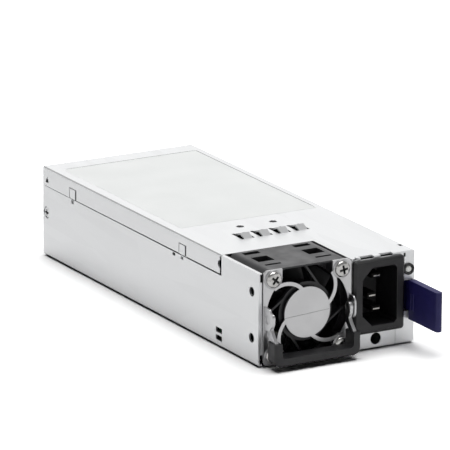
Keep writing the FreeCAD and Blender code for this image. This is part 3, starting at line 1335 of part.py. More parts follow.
def heatsink(label, face, side, span):
    """An upright plate between two places along Y, with level fins on one side of it."""
    sink = new_body(label)
    root = f"{face} + {side} * sink_plate"
    plate = sorted((face, root), key=number)
    pad(sink, "XZ", [rectangle(plate, (BOARD_TOP, f"{BOARD_TOP} + sink_height"))], span)
    fins = sorted((root, f"{root} + {side} * sink_reach"), key=number)
    low = f"{BOARD_TOP} + fin_low"
    fin = pad(sink, "XZ", [rectangle(fins, (low, f"{low} + fin_thick"))], span)
    repeated(sink, fin, "Z", "(sink_height - 2 * fin_low - fin_thick) / (fin_count - 1)", "fin_count")


def make_power_stage():
    """Bulk capacitor, finned primary heatsink with its transistors, and the transformer."""
    bulk = (f"{BOARD_LEFT} + bulk_side", f"{BOARD_TOP} + bulk_radius")
    node(rod("Y", bulk, "bulk_radius", (f"{BOARD_FRONT} + bulk_back", f"{BOARD_REAR} - bulk_rear")),
         "bulk_capacitor")
    heatsink("primary_heatsink", "primary_face", -1,
             (f"{BOARD_FRONT} + primary_back", f"{BOARD_REAR} - primary_rear"))
    low = f"{BOARD_TOP} + transistor_low"
    packages = []
    for step in range(int(number("transistor_count"))):
        front = f"{BOARD_FRONT} + transistor_back + {step} * transistor_pitch"
        packages.append(block(("primary_face", "primary_face + transistor_thick"),
                              (front, f"{front} + transistor_width"), (low, f"{low} + transistor_height")))
    node(joined(packages), "power_transistors")
    # the core is a closed frame round the winding with a middle leg through it
    across, ahead = f"{BOARD_RIGHT} - transformer_side", f"{BOARD_REAR} - transformer_rear"
    x = (f"{across} - core_width / 2", f"{across} + core_width / 2")
    wider = (f"{x[0]} - winding_over", f"{x[1]} + winding_over")
    window = (f"{ahead} - core_length / 2 + core_leg", f"{ahead} + core_length / 2 - core_leg")
    leg = (f"{ahead} - core_leg", f"{ahead} + core_leg")
    hollow = (f"{BOARD_TOP} + core_leg", f"{BOARD_TOP} + core_height - core_leg")
    frame = block(x, (f"{ahead} - core_length / 2", f"{ahead} + core_length / 2"),
                  (BOARD_TOP, f"{BOARD_TOP} + core_height"))
    node(joined([cut(frame, [block(wider, window, hollow)]), block(x, leg, hollow)]), "transformer_core")
    turns = block(wider, window, (f"{hollow[0]} + winding_gap", f"{hollow[1]} - winding_gap"))
    through = (f"{wider[0]} - winding_over", f"{wider[1]} + winding_over")
    node(cut(turns, [block(through, leg, hollow)]), "transformer_winding")


def make_output_stage():
    """Secondary heatsink, output filter and control board near the card edge."""
    heatsink("secondary_heatsink", "secondary_face", 1,
             (f"{BOARD_REAR} - secondary_back", f"{BOARD_REAR} - secondary_rear"))
    wound("output_inductor", f"{BOARD_RIGHT} - output_coil_side", f"{BOARD_REAR} - output_coil_rear",
          "output_coil")
    cans = []
    for column in (0, 1):
        across = f"{BOARD_LEFT} + can_side + {column} * can_pitch"
        for row in (0, 1, 2):
            ahead = f"{BOARD_REAR} - can_rear - {row} * can_pitch"
            cans.append(rod("Z", (across, ahead), "can_radius", (BOARD_TOP, f"{BOARD_TOP} + can_height")))
    node(joined(cans), "output_capacitors")
    across, ahead = f"{BOARD_RIGHT} - control_side", f"{BOARD_REAR} - control_rear"
    node(block((f"{across} - board_thick / 2", f"{across} + board_thick / 2"),
               (f"{ahead} - control_length / 2", f"{ahead} + control_length / 2"),
               (BOARD_TOP, f"{BOARD_TOP} + control_height")), "control_board")


# ---------------------------------------------------------------- trim and side screws


def make_trim():
    """Blank rating label on the lid, and the flat-head screws at the rear of both sides."""
    middle = f"({FRONT} + label_back)"
    label = block(("-label_width / 2 + label_shift", "label_width / 2 + label_shift"),
                  (f"{middle} - label_length / 2", f"{middle} + label_length / 2"),
                  (TOP, f"{TOP} + label_thick"))
    node(label, "rating_label")
    place = (f"{REAR} - side_screw_rear", "side_screw_height")
    screws = []
    for side in (-1, 1):
        face = LEFT if side < 0 else RIGHT
        head = DOC.addObject("Part::Cone", "ScrewHead")
        head.Placement.Rotation = FreeCAD.Rotation(FreeCAD.Vector(0, 1, 0), -90 * side)
        for axis, value in zip("xyz", (face, *place)):
            bind(head, f"Placement.Base.{axis}", value)
        bind(head, "Radius1", "side_screw_radius")
        bind(head, "Radius2", "side_screw_thread")
        bind(head, "Height", "sheet_thick")
        inward = sorted((f"{face} - {side} * {depth}" for depth in ("sheet_thick", "side_screw_length")),
                        key=number)
        screws.append(joined([head, rod("X", place, "side_screw_thread", inward)]))
    node(joined(screws), "side_screws")


def check():
    """Stop before anything is written if an object failed or a sub-part's shape is unsound."""
    for thing in DOC.Objects:
        if "Invalid" in thing.State or "Error" in thing.State:
            raise RuntimeError(f"{thing.Name} ({thing.Label}) failed: {thing.State}")
    for thing in NODES:
        if thing.Shape.isNull() or not thing.Shape.isValid():
            raise RuntimeError(f"{thing.Label} has no sound shape")


def write():
    """Write every sub-part to its own file, named for its label."""
    os.makedirs("parts", exist_ok=True)
    for thing in NODES:
        thing.Shape.exportStep(f"parts/{thing.Label}.step")


make_chassis()
make_top_cover()
make_rear_panel()
make_fan_frame()
make_fan_rotor()
make_fan_motor()
make_fan_guard()
make_screws()
make_handle()
make_inlet()
make_indicator()
make_release()
make_board()
make_input_stage()
make_power_stage()
make_output_stage()
make_trim()
DOC.recompute()
check()
write()
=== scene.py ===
"""Looks of a hot swap server power supply, dressed over its packed construction model.

Sheet steel, moulded and wound pieces each get the finish of the real one, and the small pieces that
the construction model keeps plain, such as screws and coils, are modelled here. Sizes are in
millimetres and meshes in metres, in the frame of the construction model: +X right, +Y to the rear,
+Z up.
"""

from __future__ import annotations

import logging
import math
from collections.abc import Callable
from dataclasses import dataclass, field
from enum import Enum

import bmesh
import bpy
import numpy as np
from mathutils import Matrix, Vector

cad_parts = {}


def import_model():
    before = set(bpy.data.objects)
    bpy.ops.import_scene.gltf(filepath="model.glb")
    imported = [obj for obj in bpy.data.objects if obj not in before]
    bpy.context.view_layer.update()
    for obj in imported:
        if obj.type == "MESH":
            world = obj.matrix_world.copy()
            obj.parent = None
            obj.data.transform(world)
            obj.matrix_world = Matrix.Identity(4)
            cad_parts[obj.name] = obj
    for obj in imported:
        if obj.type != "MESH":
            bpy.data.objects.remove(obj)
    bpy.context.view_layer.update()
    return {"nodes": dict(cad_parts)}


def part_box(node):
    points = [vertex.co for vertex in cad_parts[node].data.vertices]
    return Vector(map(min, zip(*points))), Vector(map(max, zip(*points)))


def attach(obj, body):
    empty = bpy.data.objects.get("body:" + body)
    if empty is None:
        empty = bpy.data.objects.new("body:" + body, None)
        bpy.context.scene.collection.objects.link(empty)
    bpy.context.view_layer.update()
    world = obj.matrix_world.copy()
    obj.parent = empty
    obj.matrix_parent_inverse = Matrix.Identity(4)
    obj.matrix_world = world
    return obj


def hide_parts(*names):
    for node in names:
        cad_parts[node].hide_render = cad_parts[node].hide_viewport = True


MM = 0.001
LOG = logging.getLogger("power_supply")
Array = np.ndarray
Tree, Socket = bpy.types.NodeTree, bpy.types.NodeSocket
# How near two corners lie that are one: in new pieces and in copies of construction nodes, in
# millimetres
MERGE, MERGE_COPY = 0.002, 0.001
# Angles in degrees: below the first, faces of a copy are one flat; above the next two, its edges
# are sharp or rounded; above the last, the edges of a new piece are sharp
FLAT, SHARP, ROUNDED, NEW_SHARP = 0.5, 25, 40, 35
# A direction that no wire runs along
SKEW = (0.31, 0.17, 0.93)
# Values of the noise between which a cloud of the second colour fades in
CLOUD = (0.35, 0.65)
# Scale of the clouds over the crystals of zinc: each cloud is four crystals wide
OVER_CRYSTALS = 0.25


class Body(Enum):
    """The rigid bodies that pieces ride on."""

    CASE = "case"
    FAN = "fan"
    HANDLE = "handle"
    LATCH = "latch"


class Axis(Enum):
    """The direction that a turned piece's own axis points along, as a rotation from +Z."""

    Z = ((1, 0, 0), (0, 1, 0), (0, 0, 1))
    FRONT = ((1, 0, 0), (0, 0, -1), (0, 1, 0))
    LEFT = ((0, 0, -1), (0, 1, 0), (1, 0, 0))
    RIGHT = ((0, 0, 1), (0, 1, 0), (-1, 0, 0))

    def turn(self, points: Array) -> Array:
        """Points worked out along +Z, turned to this direction."""
        return points @ np.array(self.value, float).T


# ------------------------------------------------------------------ finishes


def linear(colour: str) -> tuple[float, float, float, float]:
    """An sRGB hex colour as linear light.

    Args:
        colour: the colour as #RRGGBB.

    Returns:
        Red, green, blue and an alpha of 1.
    """
    parts = np.array([int(colour[start:start + 2], 16) for start in (1, 3, 5)]) / 255
    light = np.where(parts <= 0.04045, parts / 12.92, ((parts + 0.055) / 1.055) ** 2.4)
    return (*map(float, light), 1.0)


def add_node(tree: Tree, kind: str, links: dict | None = None,
             **settings: object) -> bpy.types.Node:
    """Add one shader node.

    Args:
        tree: the node tree it goes into.
        kind: the node's type, without the ShaderNode prefix.
        links: input name or index, to a value or to the socket that feeds it.
        settings: properties of the node itself.

    Returns:
        The new node.
    """
    node = tree.nodes.new(f"ShaderNode{kind}")
    for name, value in settings.items():
        setattr(node, name, value)
    for name, value in (links or {}).items():
        if isinstance(value, bpy.types.NodeSocket):
            tree.links.new(value, node.inputs[name])
        else:
            node.inputs[name].default_value = value
    return node


@dataclass(frozen=True)
class Finish:
    """One surface finish: what the piece is made of and how its surface was made.

    Attributes:
        name: common name of the material and its making.
        colour: main colour, sRGB.
        shade: colour that the patches of variation reach, sRGB.
        metallic: 1 for bare metal, 0 for anything else.
        roughness: mean roughness of the surface.
        spread: how far the roughness strays from its mean.
        patch: size of the patches of variation, in millimetres.
        grain: size of the finest bumps, in millimetres.
        depth: height of those bumps, in millimetres.
        stretch: how much longer patches and grain run along X, Y and Z.
        coat: weight of a clear coat.
        glow: strength of light given off.
    """

    name: str
    colour: str
    shade: str
    metallic: float = 0.0
    roughness: float = 0.5
    spread: float = 0.06
    patch: float = 6.0
    grain: float = 0.3
    depth: float = 0.004
    stretch: tuple[float, float, float] = (1.0, 1.0, 1.0)
    coat: float = 0.0
    glow: float = 0.0

    def material(self) -> bpy.types.Material:
        """Make the finish's material, or find it where another piece has it already.

        Returns:
            The material.
        """
        made = bpy.data.materials.get(self.name)
        if made:
            return made
        made = bpy.data.materials.new(self.name)
        made.use_nodes = True
        tree = made.node_tree
        tree.nodes.clear()
        place = add_node(tree, "TexCoord").outputs["Object"]
        scale = tuple(1 / (MM * run) for run in self.stretch)
        place = add_node(tree, "Mapping", {"Vector": place, "Scale": scale}).outputs["Vector"]
        patches = self.pattern(tree, place)
        colour = add_node(tree, "MixRGB", {
            "Fac": patches, "Color1": linear(self.colour), "Color2": linear(self.shade)})
        shine = add_node(tree, "MapRange", {
            "Value": patches, "To Min": self.roughness - self.spread,
            "To Max": self.roughness + self.spread})
        grain = add_node(tree, "TexNoise", {
            "Vector": place, "Scale": 1 / self.grain, "Detail": 2.0})
        bump = add_node(tree, "Bump", {
            "Height": grain.outputs["Fac"], "Distance": self.depth * MM, "Strength": 1.0})
        shader = add_node(tree, "BsdfPrincipled", {
            "Base Color": colour.outputs["Color"], "Metallic": self.metallic,
            "Roughness": shine.outputs["Result"], "Normal": bump.outputs["Normal"],
            "Coat Weight": self.coat})
        if self.glow:
            shader.inputs["Emission Color"].default_value = linear(self.colour)
            shader.inputs["Emission Strength"].default_value = self.glow
        add_node(tree, "OutputMaterial", {"Surface": shader.outputs["BSDF"]})
        return made

    def pattern(self, tree: Tree, place: Socket) -> Socket:
        """Where the second colour shows: soft cloudy patches.

        Args:
            tree: the material's node tree.
            place: the place on the surface, in millimetres.

        Returns:
            The share of the second colour, from 0 to 1.
        """
        cloud = add_node(tree, "TexNoise", {
            "Vector": place, "Scale": 1 / self.patch, "Detail": 3.0})
        sharp = add_node(tree, "MapRange", {
            "Value": cloud.outputs["Fac"], "From Min": CLOUD[0], "From Max": CLOUD[1]})
        return sharp.outputs["Result"]


@dataclass(frozen=True)
class Spangled(Finish):
    """Zinc on sheet steel: faint flat crystals a few millimetres wide, each with its own grey."""

    def pattern(self, tree: Tree, place: Socket) -> Socket:
        """Where the second colour shows: cells of a Voronoi pattern, softened by a cloud.

        Args:
            tree: the material's node tree.
            place: the place on the surface, in millimetres.

        Returns:
            The share of the second colour, from 0 to 1.
        """
        cells = add_node(tree, "TexVoronoi", {
            "Vector": place, "Scale": 1 / self.patch, "Randomness": 1.0})
        grey = add_node(tree, "RGBToBW", {"Color": cells.outputs["Color"]})
        cloud = add_node(tree, "TexNoise", {
            "Vector": place, "Scale": OVER_CRYSTALS / self.patch, "Detail": 2.0})
        both = {0: grey.outputs["Val"], 1: cloud.outputs["Fac"]}
        return add_node(tree, "Math", both, operation="MULTIPLY").outputs["Value"]


# Electrogalvanised sheet: even, pale and satin, with hardly any spangle and fine rolling lines
# along the case
ZINC_SHEET = Spangled("galvanised sheet steel", "#E6E7E8", "#DEDFE0", metallic=0.8, roughness=0.38,
                      spread=0.03, patch=5.0, grain=0.5, depth=0.0015, stretch=(1, 8, 1))
# Rolled bend of the same sheet: the press brake burnishes it, so it shows the room more sharply
# than the flats; its darker tint is a painted dark reflection line along the fold
BEND_PAINTED_DARK = Finish("burnished zinc bend painted dark", "#D2D3D4", "#CBCCCD", metallic=1.0, roughness=0.16,
                     spread=0.03, patch=5.0, grain=0.6, depth=0.0003)
# Underside of the same sheet, painted dark grey and matt: painted shade of the narrow gap over the
# floor
UNDERSIDE_PAINTED_SHADE = Finish("zinc underside painted shade", "#2E2E30", "#262628", metallic=0.3, roughness=0.75,
                      patch=6.0)
# Bright zinc plate on the guard and arms: shinier than the sheet, with soft clouds from the bath
BRIGHT_ZINC = Finish("bright zinc plated steel", "#C2C2C3", "#BDBDBE", metallic=1.0, roughness=0.32,
                     spread=0.02, patch=9.0, grain=0.8, depth=0.0002)
# Nickel on screws: mirror-like with darker clouds in the hollows
NICKEL = Finish("nickel plated screw steel", "#C4C3C1", "#B2B1AF", metallic=1.0, roughness=0.2,
                spread=0.03, patch=3.0, grain=0.6, depth=0.0004)
# Cross recesses, painted dark: painted shade in the hollow of the recess
RECESS_SHADE = Finish("screw recess painted shade", "#3C3C3D", "#2E2E2F", metallic=0.6, roughness=0.5, patch=0.8,
                depth=0.001)
# Glass-filled PBT of the fan: dark grey with a dusty satin skin
FAN_MOULDING = Finish("glass filled PBT moulding", "#2B2B2E", "#262628", roughness=0.42, patch=8.0,
                      grain=0.25, depth=0.004)
# Rotor: the same PBT in black, matt, so the blades sink into the shade of the frame
ROTOR_MOULDING = Finish("black PBT rotor moulding", "#131315", "#101012", roughness=0.65, patch=6.0,
                        grain=0.3, depth=0.003)
# Grip: nylon with a fine spark-eroded grain
GRIP_NYLON = Finish("grained nylon moulding", "#1B1B1D", "#17171A", roughness=0.48, patch=4.0,
                    grain=0.35, depth=0.012)
# Inlet: flame-retardant moulding, nearly black, fine grain on the flange
INLET_MOULDING = Finish("flame retardant inlet moulding", "#1A191C", "#151517", roughness=0.45,
                        patch=5.0, grain=0.3, depth=0.008)
# Lever: ABS dyed deep violet blue, satin
LEVER_ABS = Finish("violet blue ABS moulding", "#1C175F", "#181455", roughness=0.55, patch=9.0,
                   grain=0.4, depth=0.003)
# Lamp bezel: polished black moulding with a small crisp highlight
LAMP_RING = Finish("black lamp bezel moulding", "#232325", "#1C1C1E", roughness=0.3, patch=3.0)
# Lamp lens: milky acrylic, glossy, with a faint glow painted in so that it looks pale: a painted
# highlight
LAMP_LENS = Finish("milky lamp lens", "#F4F6F2", "#EBEDE9", roughness=0.12, patch=2.0, depth=0.0,
                   coat=0.6, glow=0.25)
# Blank rating film: matt polyester, a touch greener and greyer than the lid around it
LABEL_FILM = Finish("matt polyester label film", "#F9FBFA", "#F6F8F7", roughness=0.5, patch=20.0,
                    grain=0.8, depth=0.001)
# Card edge contacts: hard gold over nickel, warm and bright
GOLD = Finish("hard gold plating", "#D9A94E", "#C9963C", metallic=1.0, roughness=0.22, patch=2.0)
# Blades and standoffs: nickel over brass, bright with a slightly warm cast
CONTACT_NICKEL = Finish("nickel plated brass blade", "#C4C2BE", "#B0AEA8", metallic=1.0,
                        roughness=0.3, patch=2.0)
# Sides of the same blades, painted dark: painted shade of the inlet's cavity, so only the flat ends
# catch the light
BLADE_PAINTED_SHADE = Finish("blade plating painted in shade", "#2B2A28", "#232221", metallic=0.9, roughness=0.5,
                     patch=2.0)
# Boards: solder mask over glass weave, dark green with a thin gloss
MASK = Finish("green solder mask laminate", "#1E4A2C", "#173D24", roughness=0.32, patch=3.0,
              grain=1.0, depth=0.01, coat=0.4)
# Windings: copper under clear enamel, so each turn has a wet highlight
ENAMELLED_COPPER = Finish("enamelled copper wire", "#B4622E", "#8E4A22", metallic=0.9,
                          roughness=0.28, patch=2.0, coat=0.5)
# Cores: pressed and sintered ferrite, dark grey and dry
FERRITE = Finish("sintered ferrite", "#2B2B2E", "#222225", roughness=0.62, patch=1.5, grain=0.15,
                 depth=0.01)
# Transformer wrap: yellow polyester tape, smooth, with its laps running round
POLYESTER_TAPE = Finish("yellow polyester tape", "#C9A83A", "#B8962E", roughness=0.35, patch=6.0,
                        stretch=(1, 1, 4))
# Film capacitor: grey box cast full of resin, even and satin
BOX_RESIN = Finish("grey cast capacitor box", "#8D8F94", "#83858A", roughness=0.45, patch=3.0)
# Disc capacitors: dipped blue coating with a fine orange peel
BLUE_CERAMIC = Finish("blue coated ceramic disc", "#3469A8", "#2B5A94", roughness=0.4, patch=2.0,
                      grain=0.4, depth=0.02)
# Relay: black moulded cap, smooth and a little glossy
RELAY_CASE = Finish("black relay case moulding", "#18181A", "#121214", roughness=0.35, patch=4.0)
# Fuse: glazed white ceramic tube
FUSE_CERAMIC = Finish("white fuse ceramic", "#E4E2DC", "#D6D4CC", roughness=0.35, patch=3.0,
                      coat=0.3)
# Power packages: moulded black epoxy, matt and fine grained
EPOXY = Finish("moulded epoxy package", "#1B1B1B", "#232323", roughness=0.6, patch=0.6, grain=0.12,
               depth=0.01)
# Capacitor cans: dark shrunk PET sleeve, glossy and slightly blue
CAN_SLEEVE = Finish("dark PET can sleeve", "#1D2233", "#171B2A", roughness=0.28, patch=8.0,
                    coat=0.5)
# Their ends: bare drawn aluminium
CAN_TOP = Finish("bare aluminium can end", "#C8C9CB", "#B4B5B8", metallic=1.0, roughness=0.32,
                 patch=2.0)
# Heatsinks: extruded aluminium, satin, with die lines along the case
EXTRUDED = Finish("extruded aluminium", "#B9BBBE", "#A6A8AC", metallic=1.0, roughness=0.38,
                  patch=3.0, grain=0.2, depth=0.003, stretch=(1, 12, 1))
# Rotor magnet: bonded ferrite, nearly black and dull
BONDED_MAGNET = Finish("bonded ferrite magnet", "#2A2726", "#1F1D1C", roughness=0.7, patch=1.0)
# Fan bearing: porous bronze, dark with its oil
SINTERED_BRONZE = Finish("oiled sintered bronze", "#8A6A3A", "#6F532B", metallic=1.0, roughness=0.5,
                         patch=0.8, grain=0.15, depth=0.01)
# Latch spring: drawn wire, grey and bright along each turn
SPRING_WIRE = Finish("patented spring wire", "#8E8F92", "#77787B", metallic=1.0, roughness=0.3,
                     patch=1.0)
# Film under the board: pale greenish sheet, smooth
INSULATING_FILM = Finish("pale insulating film", "#C9CCB8", "#BEC1AC", roughness=0.4, patch=10.0,
                         depth=0.0)

# Washers: dull zinc, a little darker than the screws on them
WASHER_ZINC = Finish("zinc plated washer", "#C2C2C3", "#A8A8AA", metallic=1.0, roughness=0.34,
                     patch=2.0)
# Scribed line: bare steel grey in a groove
SCRIBED = Finish("scribed steel", "#8E9292", "#858989", roughness=0.6, patch=4.0)
# Label edge strip, grey: a painted shadow line along the film's edge
LABEL_EDGE_SHADOW = Finish("label edge painted shadow", "#6F7271", "#666968", roughness=0.7, patch=10.0)

NODE_FINISHES: dict[str, Finish] = {
    "chassis": ZINC_SHEET, "top_cover": ZINC_SHEET, "rear_panel": ZINC_SHEET,
    "fan_frame": FAN_MOULDING, "fan_rotor": ROTOR_MOULDING, "fan_bearing": SINTERED_BRONZE,
    "fan_stator": ENAMELLED_COPPER, "fan_magnet": BONDED_MAGNET, "fan_shaft": NICKEL,
    "fan_guard": BRIGHT_ZINC, "guard_screws": NICKEL, "guard_washers": NICKEL,
    "side_screws": NICKEL, "handle_arm_left": BRIGHT_ZINC, "handle_arm_right": BRIGHT_ZINC,
    "handle_grip": GRIP_NYLON, "inlet_housing": INLET_MOULDING, "inlet_blades": CONTACT_NICKEL,
    "led_holder": LAMP_RING, "led_lens": LAMP_LENS, "led_board": MASK, "release_lever": LEVER_ABS,
    "latch_arm": BRIGHT_ZINC, "latch_pin": NICKEL, "latch_bracket": BRIGHT_ZINC,
    "latch_torsion_spring": SPRING_WIRE, "main_board": MASK, "control_board": MASK,
    "edge_contacts": GOLD, "board_standoffs": CONTACT_NICKEL, "board_screws": NICKEL,
    "insulating_film": INSULATING_FILM, "emi_choke": ENAMELLED_COPPER,
    "pfc_inductor": ENAMELLED_COPPER, "output_inductor": ENAMELLED_COPPER, "x_capacitor": BOX_RESIN,
    "y_capacitors": BLUE_CERAMIC, "fuse": FUSE_CERAMIC, "relay": RELAY_CASE,
    "bridge_rectifier": EPOXY, "power_transistors": EPOXY, "bulk_capacitor": CAN_SLEEVE,
    "output_capacitors": CAN_SLEEVE, "primary_heatsink": EXTRUDED, "secondary_heatsink": EXTRUDED,
    "transformer_core": FERRITE, "transformer_winding": POLYESTER_TAPE, "rating_label": LABEL_FILM,
}


# ------------------------------------------------------------------ meshes


def piece(name: str, mesh: bpy.types.Mesh, finish: Finish, body: Body,
          stands_for: tuple[str, ...] = ()) -> bpy.types.Object:
    """Put a finished mesh in the scene, on its body.

    Args:
        name: the piece's name.
        mesh: its mesh, already in place.
        finish: its surface.
        body: the body it rides on.
        stands_for: construction nodes that it hides.

    Returns:
        The new object.
    """
    thing = bpy.data.objects.new(name, mesh)
    bpy.context.scene.collection.objects.link(thing)
    mesh.materials.clear()
    mesh.materials.append(finish.material())
    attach(thing, body.value)
    if stands_for:
        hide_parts(*stands_for)
    LOG.info("%s rides on %s", name, body.value)
    return thing


def grid_mesh(name: str, sheets: list[Array], wrap: bool = True) -> bpy.types.Mesh:
    """One mesh from grids of points.

    Args:
        name: the mesh's name.
        sheets: arrays of shape (rows, columns, 3) in metres, each a surface of its own.
        wrap: whether the last column joins the first.

    Returns:
        The mesh, with poles merged and faces outwards.
    """
    points, faces, start = [], [], 0
    for sheet in sheets:
        rows, columns, _ = sheet.shape
        row = np.arange(rows - 1)[:, None] * columns
        column = np.arange(columns if wrap else columns - 1)[None, :]
        after = (column + 1) % columns
        quads = np.stack([row + column, row + after, row + columns + after,
                          row + columns + column], axis=-1)
        faces.append(quads.reshape(-1, 4) + start)
        points.append(sheet.reshape(-1, 3))
        start += rows * columns
    mesh = bpy.data.meshes.new(name)
    mesh.from_pydata(np.concatenate(points), [], np.concatenate(faces).tolist())
    tidy(mesh)
    return mesh


def tidy(mesh: bpy.types.Mesh) -> None:
    """Merge doubles, turn faces outwards and shade smooth but for sharp edges.

    Args:
        mesh: the mesh to mend.
    """
    work = bmesh.new()
    work.from_mesh(mesh)
    bmesh.ops.remove_doubles(work, verts=work.verts, dist=MERGE * MM)
    bmesh.ops.recalc_face_normals(work, faces=work.faces)
    work.to_mesh(mesh)
    work.free()
    mesh.shade_smooth()
    mesh.set_sharp_from_angle(angle=math.radians(NEW_SHARP))


def turned(profile: Array, columns: int = 48) -> Array:
    """A surface of revolution: each profile point (radius, height) swept round +Z.

    Args:
        profile: points of shape (rows, 2), in millimetres.
        columns: steps round the axis.

    Returns:
        Points of shape (rows, columns, 3), in millimetres.
    """
    angle = np.linspace(0, 2 * np.pi, columns, endpoint=False)[None, :]
    radius, height = profile[:, 0:1], profile[:, 1:2]
    return np.stack([radius * np.cos(angle), radius * np.sin(angle), height + 0 * angle], axis=-1)


def tube_along(path: Array, radius: float, columns: int) -> Array:
    """A round wire along a path: at each point a circle square to the path's direction.

    Args:
        path: points of shape (rows, 3), in millimetres.
        radius: the wire's radius, in millimetres.
        columns: steps round the wire.

    Returns:
        Points of shape (rows, columns, 3), in millimetres.
    """
    ahead = np.gradient(path, axis=0)
    ahead = ahead / np.linalg.norm(ahead, axis=1, keepdims=True)
    side = np.cross(ahead, np.array(SKEW))
    side = side / np.linalg.norm(side, axis=1, keepdims=True)
    up = np.cross(ahead, side)
    angle = np.linspace(0, 2 * np.pi, columns, endpoint=False)[None, :, None]
    square = np.cos(angle) * side[:, None, :] + np.sin(angle) * up[:, None, :]
    return path[:, None, :] + radius * square


def node_box(node: str) -> tuple[Array, Array]:
    """The least and the greatest corner of a construction node's box, in millimetres."""
    low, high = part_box(node)
    return np.array(low) / MM, np.array(high) / MM


def label_foot() -> float:
    """Height of the label's underside, which is the lid's top, in millimetres."""
    return node_box("rating_label")[0][2]


def node_middle(node: str) -> Array:
    """The middle of a construction node's box, in millimetres."""
    low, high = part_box(node)
    return np.array((low + high) / 2) / MM


def node_size(node: str) -> Array:
    """The size of a construction node's box, in millimetres."""
    low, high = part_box(node)
    return np.array(high - low) / MM


def part_finish(thing: bpy.types.Object, finish: Finish, chosen: Callable[[Array], Array]) -> None:
    """Give some faces of a piece a finish of their own.

    Args:
        thing: the piece.
        finish: the finish of those faces.
        chosen: which faces get it, from their middles in millimetres.
    """
    faces = thing.data.polygons
    middles = np.empty(len(faces) * 3)
    faces.foreach_get("center", middles)
    thing.data.materials.append(finish.material())
    faces.foreach_set("material_index", chosen(middles.reshape(-1, 3) / MM).astype(np.int32))


def rounded_copy(source: bpy.types.Object, body: Body, edge: float, finish: Finish,
                 shape: Callable[[Array], Array] | None = None) -> bpy.types.Object:
    """A copy of a construction node with its loose triangles merged and its sharp edges rounded.

    Args:
        source: the construction node's object.
        body: the body that it rides on.
        edge: radius of the rounded edges, in millimetres, or 0 where its folds are already drawn
            round.
        finish: its surface.
        shape: moves the copy's corners, given in millimetres.

    Returns:
        The copy, which stands for the node.
    """
    mesh = source.data.copy()
    work = bmesh.new()
    work.from_mesh(mesh)
    bmesh.ops.remove_doubles(work, verts=work.verts, dist=MERGE_COPY * MM)
    bmesh.ops.dissolve_limit(work, angle_limit=math.radians(FLAT), verts=work.verts,
                             edges=work.edges)
    work.to_mesh(mesh)
    work.free()
    if shape:
        corners = np.empty(len(mesh.vertices) * 3)
        mesh.vertices.foreach_get("co", corners)
        mesh.vertices.foreach_set("co", (shape(corners.reshape(-1, 3) / MM) * MM).ravel())
    mesh.shade_smooth()
    mesh.set_sharp_from_angle(angle=math.radians(SHARP))
    copy = piece(f"{source.name}_finished", mesh, finish, body, (source.name,))
    if not edge:
        flat = copy.modifiers.new("flat faces", "WEIGHTED_NORMAL")
        flat.keep_sharp = True
        return copy
    bevel = copy.modifiers.new("rounded edges", "BEVEL")
    bevel.width = edge * MM
    bevel.segments = 2
    bevel.limit_method = "ANGLE"
    bevel.angle_limit = math.radians(ROUNDED)
    bevel.use_clamp_overlap = True
    bevel.harden_normals = True
    return copy


# ------------------------------------------------------------------ fasteners


# Outline of a screw, ring by ring from the middle of the head to the end of the shank: the ring's
# number, its reach as a share of the head's radius, and its height as a share of the head's rise
# or, below 0, of the shank's length
SCREW_OUTLINE = np.array([
    (0, 0, 1), (0.5, 0.5, 0.97), (0.72, 0.72, 0.88), (0.86, 0.84, 0.72),
    (0.9, 0.93, 0.55), (1.0, 1, 0.3), (1.1, 1, 0), (1.2, 0, 0),
    (1.3, 0, -1), (1.4, 0, -1), (1.5, 0, -1), (1.6, 0, -1)]).T
# Rows of that table from this one on have a grid line of their own
FIRST_RING = 3
# Ring from which the grid is round, ring where the shank starts, and ring where its end starts
ROUND_FROM, SHANK_FROM, SHANK_END = 0.9, 1.15, 1.55
# A ring's number may fall short of its round value by this
SLACK = 0.01
# Least distance from the axis, in millimetres, so that nothing is divided by 0
TINY = 1e-9
# Width of a washer's softened rims, as a share of its thickness
WASHER_SOFT = 0.3


@dataclass(frozen=True)
class CrossScrew:
    """A screw with a cross recess.

    Attributes:
        radius: radius of the head.
        rise: height of the head over its seat.
        shank: radius of the shank.
        length: length of the shank below the seat.
        wing: half the span of the cross recess.
        slot: half the width of a wing.
        deep: depth of the recess.
        taper: share of that depth that is lost towards the ends of the wings.
        step: half the width of the recess's sloping sides.
        waist: place of a grid line between the slot and the end of a wing, as a share of the wing.
    """

    radius: float
    rise: float
    shank: float
    length: float
    wing: float
    slot: float
    deep: float
    taper: float = 0.45
    step: float = 0.07
    waist: float = 0.62

    def surface(self) -> Array:
        """The screw as one surface, head up, its seat at height 0.

        A square grid (u, v) is wrapped over the screw. The ring number, the larger of |u| and |v|
        over the head's radius, picks a reach and a height from the outline of the head and shank.
        Near the middle the grid stays square, so that its lines follow the wings of the recess,
        where the height drops by a depth that tapers outwards.

        Returns:
            Points of shape (rows, columns, 3), in millimetres.
        """
        radius, wing, slot, step = self.radius, self.wing, self.slot, self.step
        stops, reaches, heights = SCREW_OUTLINE
        inner = np.array([0, slot - step, slot + step, wing * self.waist, wing - step,
                          wing + step])
        half = np.concatenate([inner, radius * stops[FIRST_RING:]])
        line = np.concatenate([-half[:0:-1], half])
        u, v = np.meshgrid(line, line)
        number = np.maximum(np.abs(u), np.abs(v)) / radius
        spread = np.maximum(np.hypot(u, v), TINY) / radius
        reach = np.interp(number, stops, reaches * radius)
        reach = np.where(number > SHANK_FROM, self.shank, reach)
        reach = np.where(number > SHANK_END, 0.0, reach)
        height = np.interp(number, stops, heights)
        height = np.where(height > 0, height * self.rise, height * self.length)
        blend = np.clip((number - wing / radius) / (ROUND_FROM - wing / radius), 0, 1)
        scale = (1 - blend) + blend * reach / (spread * radius)
        scale = np.where(number > ROUND_FROM - SLACK, reach / (spread * radius), scale)
        across, along = np.abs(u), np.abs(v)
        cross = ((across < slot) & (along < wing)) | ((along < slot) & (across < wing))
        depth = self.deep * (1 - self.taper * np.maximum(across, along) / wing)
        return np.stack([u * scale, v * scale, height - np.where(cross, depth, 0.0)], axis=-1)


